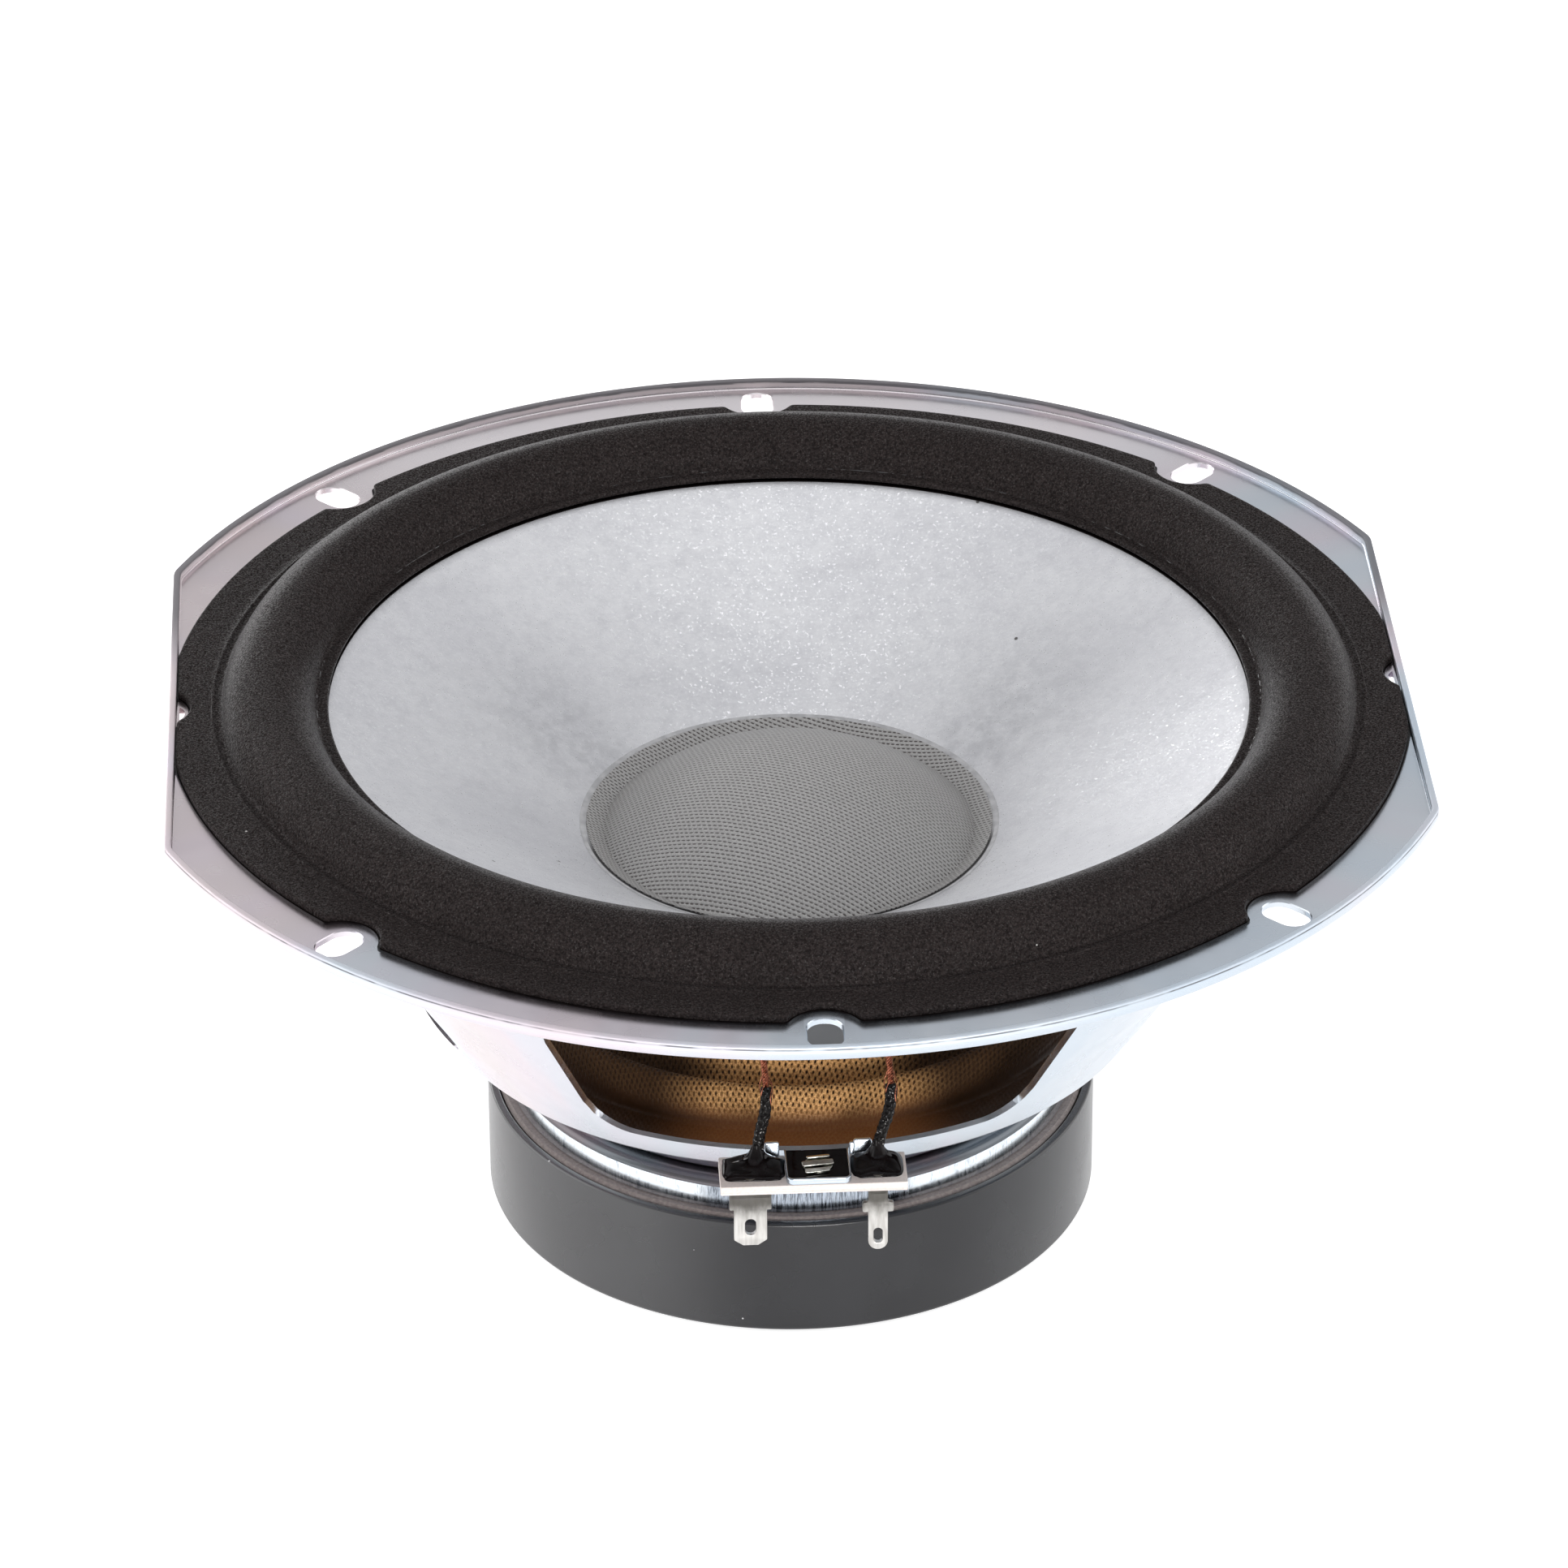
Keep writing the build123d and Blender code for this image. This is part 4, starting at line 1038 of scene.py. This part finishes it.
def foam_edge(angle, inset):
    """The foam's outline: a circle with two flats and eight notches with rounded mouths."""
    outline = flatted(angle, foam_r - inset, foam_flat - inset)
    notch_r, mouth_r = foam_notch_r + inset, 1.0 * mm - inset
    for degrees in notches:
        away = np.abs((angle - radians(degrees) + pi) % (2 * pi) - pi)
        if degrees % 180 == 0:
            centre_x = foam_flat - 1.0 * mm
            centre_y = sqrt((foam_notch_r + 1.0 * mm) ** 2 - (slot_circle_r - centre_x) ** 2)
            mouth = Vector((centre_x, centre_y))
            edge_turn = np.arctan2(centre_y, foam_flat - inset)
        else:
            reach = foam_r - 1.0 * mm
            span = foam_notch_r + 1.0 * mm
            cosine = (slot_circle_r**2 + reach**2 - span**2) / (2 * slot_circle_r * reach)
            mouth = Vector((reach * cosine, reach * sqrt(1 - cosine**2)))
            edge_turn = np.arccos(cosine)
        hub = Vector((slot_circle_r, 0))
        touch = hub + (mouth - hub).normalized() * notch_r
        touch_turn = np.arctan2(touch.y, touch.x)
        turn, span = np.arctan2(mouth.y, mouth.x), mouth.length
        bowl = notch_r**2 - (slot_circle_r * np.sin(away)) ** 2
        bowl = slot_circle_r * np.cos(away) - np.sqrt(np.maximum(bowl, 0))
        corner = mouth_r**2 - (span * np.sin(away - turn)) ** 2
        corner = span * np.cos(away - turn) + np.sqrt(np.maximum(corner, 0))
        outline = np.where(away < edge_turn, corner, outline)
        outline = np.where(away < touch_turn, bowl, outline)
    return outline


def roll_line(ball, flat_height, fillet, crown_steps, steps):
    """The roll's arc between its two feet, with a fillet at each, from the outside in."""
    rise = flat_height + fillet - roll_centre
    reach = sqrt((ball + fillet) ** 2 - rise**2)
    lean = np.degrees(np.arctan2(rise, reach))
    outer = arc((roll_r + reach, flat_height + fillet), fillet, 270, 180 + lean, steps)
    crown = arc((roll_r, roll_centre), ball, lean, 180 - lean, crown_steps)
    inner = arc((roll_r - reach, flat_height + fillet), fillet, -lean, -90, steps)
    return outer + crown[1:-1] + inner


def make_surround():
    half = foam_thickness / 2
    crown = roll_line(roll_ball + half, foam_top, 0.7 * mm, 32, 6)
    hollow = roll_line(roll_ball - half, foam_bottom, 0.25 * mm, 16, 3)[::-1]
    bead_r = crown[0][0] + 0.9 * mm
    bead = [
        (bead_r + 0.35 * mm, foam_top),
        (bead_r + 0.18 * mm, foam_top + 0.10 * mm),
        (bead_r, foam_top + 0.13 * mm),
        (bead_r - 0.18 * mm, foam_top + 0.10 * mm),
        (bead_r - 0.35 * mm, foam_top),
    ]
    edge = arc((foam_r - 0.3 * mm, foam_top - 0.3 * mm), 0.3 * mm, 0, 90, 4)
    lip = arc((foam_lip_r + half, foam_bottom + half), half, 90, 270, 8)
    flat_steps = [(r * mm, foam_top) for r in (90.2, 89, 87.6, 86.2)]
    section = (
        [(foam_r, foam_bottom)] + edge + flat_steps + bead + crown
        + [(69.0 * mm, foam_top)] + lip + [(69.0 * mm, foam_bottom)] + hollow
        + [(85.0 * mm, foam_bottom)]
    )
    angles = even_angles(480, notches, 4.6, 0.16)
    surround = lathe(
        "foam_surround", section, foam(), angles,
        reach=foam_edge, fixed_r=84.8 * mm, rim_r=foam_r, band=0.35 * mm,
    )
    follow(surround, 1 - eased(radii_of(surround), 69.6 * mm, 83.4 * mm), "surround_foam", "surround")


make_surround()

# ---------------------------------------------------------------- cone, dust cap and their glue

black_glue = glue()


def make_cone():
    fall = atan(cone_slope)
    drop = cone_thickness / cos(fall)
    neck = high("coil_collar").x
    front = [(r, cone_z(r)) for r in np.linspace(neck, cone_edge_r, 40)]
    brim = [(cone_rim_r, cone_edge_z), (cone_rim_r, cone_edge_z - drop)]
    back = [(r, z - drop) for r, z in front[::-1]]
    cone = lathe("paper_cone", front + brim + back, cone_paper())
    settle(cone, "cone_assembly", "cone_paper", "cone")


def make_dust_cap():
    foot_z = cone_z(cap_dome_r) + 0.1 * mm + cap_thickness
    rise = cap_top - foot_z
    ball = (cap_dome_r**2 + rise**2) / (2 * rise)
    half = np.degrees(np.arcsin(cap_dome_r / ball))
    dome = arc((0, cap_top - ball), ball, 90, 90 - half, 60)
    skirt_top = (cap_r, foot_z + (cap_r - cap_dome_r) * cone_slope)
    under = [(cap_r, skirt_top[1] - cap_thickness), (cap_dome_r, foot_z - cap_thickness)]
    inner = [(r * 0.98, z - cap_thickness) for r, z in dome[::-4]]
    inner[-1] = (0, inner[-1][1])
    section = dome + [skirt_top] + under + inner[1:]
    cap = solid_of_revolution("woven_cap", section, cap_cloth(), 480)
    settle(cap, "cone_assembly", "cap_cloth", "dust_cap")


def make_cap_glue():
    """A thin ring of clear glue round the skirt."""
    angles = even_angles(480)
    section = [
        (cap_r + 0.03 * mm, cone_z(cap_r) + 0.08 * mm),
        (cap_r + 1.00 * mm, cone_z(cap_r + 1.00 * mm) + 0.03 * mm),
        (cap_r + 0.70 * mm, cone_z(cap_r + 0.70 * mm) + 0.09 * mm),
        (cap_r + 0.35 * mm, cone_z(cap_r + 0.35 * mm) + 0.18 * mm),
        (cap_r + 0.03 * mm, cone_z(cap_r) + 0.46 * mm),
    ]
    ring = lathe("cap_glue_ring", section, clear_glue(), angles, crease=60)
    settle(ring, "cone_assembly", "clear_adhesive", "dust_cap_adhesive")


def make_lip_glue():
    """Glue pressed out along the roll's inner foot: a broken shiny bead on the foam's lip."""
    angles = even_angles(960)
    middle_r, level = 69.45 * mm, foam_top
    count = 10
    points, faces = [], []
    for row, angle in enumerate(angles):
        wander = noise.noise(Vector((cos(angle) * 9, sin(angle) * 9, 0.3)))
        fine = noise.noise(Vector((cos(angle) * 60, sin(angle) * 60, 2.0)))
        size = max(0.02, 0.06 + 0.16 * wander + 0.16 * fine) * mm
        radius = middle_r + 0.12 * mm * wander
        for k in range(count):
            turn = 2 * pi * k / count
            r = radius + size * cos(turn)
            points.append((r * cos(angle), r * sin(angle), level + size * 0.7 * sin(turn)))
    rows = len(angles)
    for row in range(rows):
        for k in range(count):
            here, ahead = row * count + k, (row + 1) % rows * count + k
            side = (k + 1) % count - k
            faces.append((here, here + side, ahead + side, ahead))
    bead = mesh_piece("lip_glue_bead", points, faces, glue("bead_glue", 0.8, 0.5 * mm), 180)
    settle(bead, "cone_assembly", "black_adhesive")


make_cone()
make_dust_cap()
make_cap_glue()
make_lip_glue()

# ---------------------------------------------------------------- spider


def make_spider():
    half = 0.3 * mm
    landing = low("spider").z + half
    crest, trough, neck = 41.4 * mm, 36.6 * mm, 38.6 * mm
    line = [
        (high("spider").x - half, landing),
        (46.3 * mm, landing),
        (43.0 * mm, crest),
        (38.6 * mm, trough),
        (34.2 * mm, crest),
        (29.8 * mm, trough),
        (25.6 * mm, crest),
        (22.8 * mm, neck),
        (20.25 * mm, neck),
    ]
    middle = rounded(line, [0] + [1.5 * mm] * 7 + [0], closed=False, steps=8)
    section = offset_line(middle, -half) + offset_line(middle, half)[::-1]
    spider = lathe("woven_spider", section, spider_cloth(), even_angles(600), crease=60)
    follow(spider, 1 - eased(radii_of(spider), 22 * mm, 46 * mm), "spider_cloth", "spider")


make_spider()

# ---------------------------------------------------------------- motor


def make_top_plate():
    """The front plate: satin face, rough turned edge, and painted shade on top where the basket's foot sits
    over it.
    """
    outline = [(plate_bore_r, plate_low), (plate_r, plate_low), (plate_r, base_z), (plate_bore_r, base_z)]
    plate_section = rounded(outline, [0, 0.3 * mm, plate_corner, 0], steps=8)
    band = lathe("top_plate_shell", plate_section, zinc("plate_zinc", 0.85))
    band.data.materials.append(rough_steel())
    band.data.materials.append(zinc("plate_shade", 0.20))
    for face in band.data.polygons:
        middle = face.center
        # Painted shade: the top faces take the dark copy of the zinc.
        if middle.z > base_z - 1.2 * mm:
            face.material_index = 2
        elif middle.z > plate_low and middle.xy.length > plate_r - plate_corner:
            face.material_index = 1
    settle(band, "frame", "zinc_steel", "top_plate")


def make_boot():
    wall, floor = 1.3 * mm, 1.2 * mm
    section = rounded(
        [(36 * mm, 0), (boot_r, 0), (boot_r, boot_top), (boot_r - wall, boot_top),
         (boot_r - wall, floor), (36 * mm, floor)],
        [0.2 * mm, 0.8 * mm, 0.45 * mm, 0.3 * mm, 0, 0.2 * mm],
    )
    boot = lathe("rubber_boot", section, rubber())
    settle(boot, "frame", "boot_rubber", "magnet_boot")


make_top_plate()
make_boot()

# ---------------------------------------------------------------- terminals

tin = tinned()


def flat_on(height):
    return Matrix.Translation((0, 0, height))


def upright(y):
    """Carries a plate's XY to XZ at this y."""
    return Matrix.Translation((0, y, 0)) @ Matrix.Rotation(radians(90), 4, "X")


def make_board():
    half_length = high("terminal_board").x
    outline = rectangle(-half_length, half_length, board_front, board_back, 0.3 * mm)
    thickness = board_top - board_low
    board = plate(
        "laminate_board", outline, thickness, board_laminate(),
        bevel=0.06 * mm, place=flat_on((board_top + board_low) / 2),
    )
    settle(board, "frame", "board_laminate", "terminal_board")


def make_tab(side, x, outline, hole, foot_half):
    """A tab: an upright blade with a hole, and a foot under the board."""
    blade = plate(
        f"{side}_blade", outline, tab_thickness, tin, [hole], 0.12 * mm,
        upright(tab_face_y + tab_thickness / 2),
    )
    foot = plate(
        f"{side}_foot", rectangle(x - foot_half, x + foot_half, tab_face_y, tab_foot_y, 0.2 * mm),
        tab_thickness, tin, place=flat_on(board_low - tab_thickness / 2),
    )
    settle(join(f"{side}_tab_tinned", [blade, foot]), "frame", "tinned_brass", f"{side}_tab")


def make_wide_tab():
    x, tip, top = -tab_x, low("wide_tab").z, board_low - 0.02 * mm
    half, shoulder, shoulder_z = 2.375 * mm, 3.025 * mm, 34.2 * mm
    outline = rounded(
        [(x - half + 1.3 * mm, tip), (x + half - 1.3 * mm, tip), (x + half, tip + 0.9 * mm),
         (x + half, shoulder_z), (x + shoulder, shoulder_z), (x + shoulder, top),
         (x - shoulder, top), (x - shoulder, shoulder_z), (x - half, shoulder_z),
         (x - half, tip + 0.9 * mm)],
        [0.25 * mm, 0.25 * mm, 0.25 * mm, 0.1 * mm, 0.2 * mm, 0, 0, 0.2 * mm, 0.1 * mm, 0.25 * mm],
    )
    hole = [(x + b, 31.3 * mm + a) for a, b in slot_outline(2.7 * mm, 1.6 * mm)]
    make_tab("wide", x, outline, hole, shoulder)


def make_narrow_tab():
    x, tip, top = tab_x, low("narrow_tab").z, board_low - 0.02 * mm
    half, shoulder = 1.4 * mm, 2.25 * mm
    shoulder_low, shoulder_high = 33.2 * mm, 34.8 * mm
    end = [(x + px, tip + half + pz) for px, pz in arc((0, 0), half, 180, 360, 16)]
    outline = end + rounded(
        [(x + half, shoulder_low), (x + shoulder, shoulder_low), (x + shoulder, shoulder_high),
         (x + half, shoulder_high), (x + half, top), (x - half, top), (x - half, shoulder_high),
         (x - shoulder, shoulder_high), (x - shoulder, shoulder_low), (x - half, shoulder_low)],
        [0.3 * mm, 0.3 * mm, 0.3 * mm, 0.5 * mm, 0, 0, 0.5 * mm, 0.3 * mm, 0.3 * mm, 0.3 * mm],
        closed=False,
    )
    hole = [(x + b, 29.2 * mm + a) for a, b in slot_outline(2.5 * mm, 1.3 * mm)]
    make_tab("narrow", x, outline, hole, half)


def make_tongue():
    """The tongue over the board: a shallow tray with a raised rim, and an ear on each side."""
    middle, half = tongue_x, 4.65 * mm
    root = -55.7 * mm
    tray = plate(
        "tray", rectangle(middle - half, middle + half, board_front, root, 1.0 * mm), 0.55 * mm,
        zinc_plate, bevel=0.12 * mm, place=flat_on(board_top + 0.3 * mm),
    )
    side_rim, front_rim = 0.28 * mm, 0.5 * mm
    left, right, front = middle - half, middle + half, board_front
    rim_outline = rounded(
        [(left, board_back), (left, front), (right, front), (right, board_back),
         (right - side_rim, board_back), (right - side_rim, front + front_rim),
         (left + side_rim, front + front_rim), (left + side_rim, board_back)],
        [0, 1.0 * mm, 1.0 * mm, 0, 0, 0.7 * mm, 0.7 * mm, 0],
    )
    rim = plate("rim", rim_outline, 0.62 * mm, zinc_plate, (), 0.13 * mm, flat_on(board_top + 0.69 * mm))
    pool = rectangle(left + side_rim, right - side_rim, front + front_rim, board_back + 0.6 * mm, 0.5 * mm)
    film = plate("film", pool, 0.1 * mm, black_glue, (), 0.03 * mm, flat_on(board_top + 0.60 * mm))
    ears = []
    for start, width, top in ((-6.7 * mm, 2.1 * mm, 40.4 * mm), (5.45 * mm, 0.8 * mm, 40.1 * mm),
                              (6.05 * mm, 2.7 * mm, 40.5 * mm)):
        outline = rectangle(start, start + width, 37.9 * mm, top, 0.38 * mm)
        lean = Matrix.Rotation(radians(-14), 4, "X")
        hinge = Vector((0, board_back + 0.4 * mm, 39.4 * mm))
        place = Matrix.Translation(hinge) @ lean @ Matrix.Translation(-hinge) @ upright(hinge.y)
        ears.append(plate("ear", outline, 0.9 * mm, zinc_plate, (), 0.18 * mm, place))
    tongue = join("terminal_tongue", [tray, rim, film, *ears])
    settle(tongue, "frame", "zinc_steel")


def make_eyelet():
    """A hollow eyelet in the tray, its head split into three flattened bands."""
    middle = Vector((tongue_x, (board_front + board_back) / 2, 0))
    head = board_top + 0.62 * mm
    section = rounded(
        [(1.0 * mm, board_low - 0.3 * mm), (2.6 * mm, board_low - 0.3 * mm),
         (2.6 * mm, board_low - 0.02 * mm), (1.5 * mm, board_low - 0.02 * mm), (1.5 * mm, head),
         (2.1 * mm, head), (2.1 * mm, head + 0.25 * mm), (1.0 * mm, head + 0.25 * mm)],
        [0.1 * mm, 0.1 * mm, 0, 0, 0, 0.08 * mm, 0.1 * mm, 0.1 * mm],
    )
    barrel = lathe("barrel", section, split_tin, even_angles(96))
    barrel.data.transform(Matrix.Translation(middle))
    pieces = [barrel]
    turn = Matrix.Rotation(radians(7), 4, "Z")
    for off, width, length in ((-1.75, 0.8, 3.6), (0, 1.25, 4.6), (1.75, 0.75, 3.4)):
        outline = rectangle(-length / 2 * mm, length / 2 * mm, -width / 2 * mm, width / 2 * mm, 0.3 * mm)
        height = head + (0.42 * mm if off else 0.5 * mm)
        lean = Matrix.Rotation(radians(-9 * off), 4, "X")
        place = Matrix.Translation(middle + Vector((0, 0, height))) @ turn
        place = place @ Matrix.Translation((0.2 * mm * off, off * mm, 0)) @ lean
        pieces.append(plate("band", outline, 0.3 * mm, split_tin, (), 0.1 * mm, place))
    settle(join("split_eyelet", pieces), "frame", "tinned_brass", "board_eyelet")


split_tin = eyelet_brass()
make_board()
make_wide_tab()
make_narrow_tab()
make_tongue()
make_eyelet()

# ---------------------------------------------------------------- leads, sleeves and their glue

routes_in_mm = {
    "wide": ((-8.0, -59.7, 39.2), (-7.8, -59.5, 42.7), (-6.3, -58.0, 47.4),
             (-6.6, -55.4, 53.0), (-7.4, -51.2, 59.6), (-8.3, -47.9, 66.3)),
    "narrow": ((9.3, -59.7, 39.2), (9.5, -59.5, 42.3), (11.5, -58.0, 46.6),
               (11.4, -55.4, 52.6), (10.4, -51.1, 59.4), (9.2, -47.8, 66.2)),
}
routes = {side: [tuple(c * mm for c in place) for place in route] for side, route in routes_in_mm.items()}
sleeve_length = 11.4 * mm


def spline_points(name, route):
    """Evenly spaced points along the route's NURBS spline."""
    curve = bpy.data.curves.new(name, "CURVE")
    curve.dimensions = "3D"
    curve.resolution_u = 40
    spline = curve.splines.new("NURBS")
    spline.points.add(len(route) - 1)
    for point, place in zip(spline.points, route):
        point.co = (*place, 1)
    spline.order_u = 3
    spline.use_endpoint_u = True
    source = new_object(name, curve)
    line = evaluated(source)
    along = np.array([v.co for v in line.vertices])
    bpy.data.objects.remove(source)
    bpy.data.meshes.remove(line)
    steps = np.linalg.norm(np.diff(along, axis=0), axis=1)
    run = np.concatenate([[0], np.cumsum(steps)])
    even = np.linspace(0, run[-1], int(run[-1] / (0.12 * mm)) + 1)
    return np.stack([np.interp(even, run, along[:, k]) for k in range(3)], 1), even


def carried_frames(path):
    """Two directions square to the path at each point, turned as little as possible."""
    ahead = np.gradient(path, axis=0)
    ahead /= np.linalg.norm(ahead, axis=1)[:, None]
    side = np.cross(ahead[0], (0, 0, 1.0))
    if np.linalg.norm(side) < 1e-3:
        side = np.array((1.0, 0, 0))
    sides = []
    for direction in ahead:
        side = side - direction * (side @ direction)
        side = side / np.linalg.norm(side)
        sides.append(side)
    sides = np.array(sides)
    return sides, np.cross(ahead, sides)


def tube_mesh(path, sides, ups, radius, around=10):
    """Points and faces of a closed-ended tube; radius may be a table of path by around."""
    turns = 2 * pi * np.arange(around) / around
    size = np.broadcast_to(np.asarray(radius, float), (len(path), around))
    ring = sides[:, None] * np.cos(turns)[None, :, None] + ups[:, None] * np.sin(turns)[None, :, None]
    points = (path[:, None] + ring * size[:, :, None]).reshape(-1, 3)
    faces = ring_faces(len(path), around)
    faces.append(tuple(range(around))[::-1])
    faces.append(tuple(range((len(path) - 1) * around, len(path) * around)))
    return points, faces


def make_lead(side, strand_copper):
    """A twisted tinsel lead: strands laid round the route's spline, and a few frayed ends."""
    path, run = spline_points(side, routes[side])
    sides, ups = carried_frames(path)
    strands, lay = 6, 2.3 * mm
    strand_r = 0.185 * mm
    centre_r = lead_r - strand_r
    around = 7
    points, faces, share = [], [], []

    def lay_strand(centre, size, rows):
        part, part_faces = tube_mesh(centre, sides[rows], ups[rows], size, around)
        start = sum(len(p) for p in points)
        points.append(part)
        faces.extend(tuple(start + k for k in face) for face in part_faces)
        share.append(np.repeat(run[rows], around))

    for strand in range(strands):
        turn = 2 * pi * (run / lay + strand / strands)
        centre = path + centre_r * (sides * np.cos(turn)[:, None] + ups * np.sin(turn)[:, None])
        lay_strand(centre, strand_r, slice(None))
    for first_turn, reach in ((0.3, 2.6 * mm), (1.2, 1.7 * mm), (3.6, 2.2 * mm), (5.0, 1.4 * mm)):
        rows = np.flatnonzero((run > sleeve_length - reach) & (run < sleeve_length + 1.6 * mm))
        away = sleeve_r + 0.05 * mm - (sleeve_r - lead_r) * eased(run[rows], sleeve_length, run[rows][-1])
        turn = first_turn + 0.5 * np.sin((run[rows] - sleeve_length) / mm)
        centre = path[rows] + away[:, None] * (
            sides[rows] * np.cos(turn)[:, None] + ups[rows] * np.sin(turn)[:, None]
        )
        lay_strand(centre, 0.07 * mm, rows)
    lead = mesh_piece(f"{side}_tinsel_braid", np.concatenate(points), faces, strand_copper, 60)
    weights = eased(np.concatenate(share), sleeve_length + 0.2 * mm, run[-1])
    follow(lead, weights, "copper", f"{side}_tinsel_lead")


def make_sleeve(side, braid):
    """A braided sleeve: two families of ribs that cross round the lead."""
    path, run = spline_points(side, routes[side])
    kept = run <= sleeve_length
    path, run = path[kept], run[kept]
    sides, ups = carried_frames(path)
    around = 36
    turns = 2 * pi * np.arange(around) / around
    pitch = 2.2 * mm
    lean = 2 * pi * run[:, None] / pitch
    first = np.cos(5 * (turns[None, :] + lean / 2.5))
    second = np.cos(5 * (turns[None, :] - lean / 2.5))
    ribs = np.maximum(first, second)
    lumps = np.array([
        [noise.noise(Vector((cos(t) * 1.6, sin(t) * 1.6, r / mm * 1.1 + (7 if side == "wide" else 0))))
         for t in turns] for r in run
    ])
    mouth = np.clip((run[-1] - run) / (0.5 * mm), 0, 1)[:, None]
    radius = (sleeve_r - 0.12 * mm) + 0.08 * mm * ribs + 0.09 * mm * lumps
    radius = radius * (0.86 + 0.14 * np.sqrt(mouth))
    points, faces = tube_mesh(path, sides, ups, radius, around)
    sleeve = mesh_piece(f"{side}_braided_sleeve", points, faces, braid, 60)
    settle(sleeve, "frame", "sleeve_braid", f"{side}_lead_sleeve")


def make_tab_glue(side, seed):
    """A mound of glue over the joint, drawn up round the sleeve's foot."""
    (low_x, low_y, floor), (high_x, high_y, _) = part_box(f"{side}_tab_glue")
    foot = routes[side][0]
    middle = ((low_x + high_x) / 2, (low_y + high_y) / 2)
    half = ((high_x - low_x) / 2, (high_y - low_y) / 2)
    rings, around = 46, 128
    points = []
    for ring in range(rings + 1):
        share = (ring / rings) ** 0.8
        for k in range(around):
            turn = 2 * pi * k / around
            power = 2 / 5
            u = np.sign(cos(turn)) * abs(cos(turn)) ** power
            v = np.sign(sin(turn)) * abs(sin(turn)) ** power
            ragged = 1 + 0.08 * noise.noise(Vector((cos(turn) * 2, sin(turn) * 2, seed)))
            x = middle[0] + half[0] * u * share * ragged
            y = middle[1] + half[1] * v * share * ragged
            dome = (1 - share**5) ** 0.6 * (0.85 * mm)
            dome *= 0.9 + 0.4 * noise.noise(Vector((x / mm * 0.35, y / mm * 0.5, seed)))
            reach = sqrt((x - foot[0]) ** 2 + (y - foot[1]) ** 2)
            bearing = np.arctan2(y - foot[1], x - foot[0])
            streak = 1 + 0.22 * noise.noise(Vector((cos(bearing) * 1.8, sin(bearing) * 1.8, seed + 2)))
            flare = 3.0 * mm * np.exp(-max(0.0, reach - 0.55 * mm) / (0.95 * mm)) * streak
            points.append((x, y, floor + max(dome, 0.16 * mm) + flare * (1 - share**8)))
    base = len(points) - around
    faces = ring_faces(rings + 1, around)
    rim = len(points)
    points += [(x, y, floor) for x, y, _ in points[base:base + around]]
    for k in range(around):
        beside = (k + 1) % around
        faces.append((base + k, base + beside, rim + beside, rim + k))
    faces.append(tuple(range(rim, rim + around)))
    faces.append(tuple(range(around)))
    mound = mesh_piece(f"{side}_glue_mound", points, faces, black_glue, 75)
    settle(mound, "frame", "black_adhesive", f"{side}_tab_glue")


strand_copper, braid = copper(), sleeve_braid()
for seed, side in enumerate(routes):
    make_lead(side, strand_copper)
    make_sleeve(side, braid)
    make_tab_glue(side, 3.0 + seed * 5)

# ---------------------------------------------------------------- carried-over nodes


def repaint(material, slot, *nodes):
    for node in nodes:
        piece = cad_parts[node]
        piece.data.materials.clear()
        piece.data.materials.append(material)


repaint(ferrite(), "ferrite", "magnet")
repaint(zinc("yoke_zinc", 0.8), "yoke_steel", "t_yoke")
repaint(zinc("rivet_zinc", 0.95), "zinc_steel", "plate_rivets")
repaint(black_glue, "black_adhesive", "surround_adhesive", "cone_edge_adhesive", "lead_joints")
repaint(tin, "tinned_brass", "tab_eyelets")
repaint(wound_copper(), "copper", "coil_winding")
repaint(copper("lead_out_copper"), "copper", "lead_outs")
repaint(kraft_paper(), "former_paper", "coil_former", "coil_collar")
repaint(clear_glue(), "clear_adhesive", "cone_neck_adhesive", "spider_adhesive")
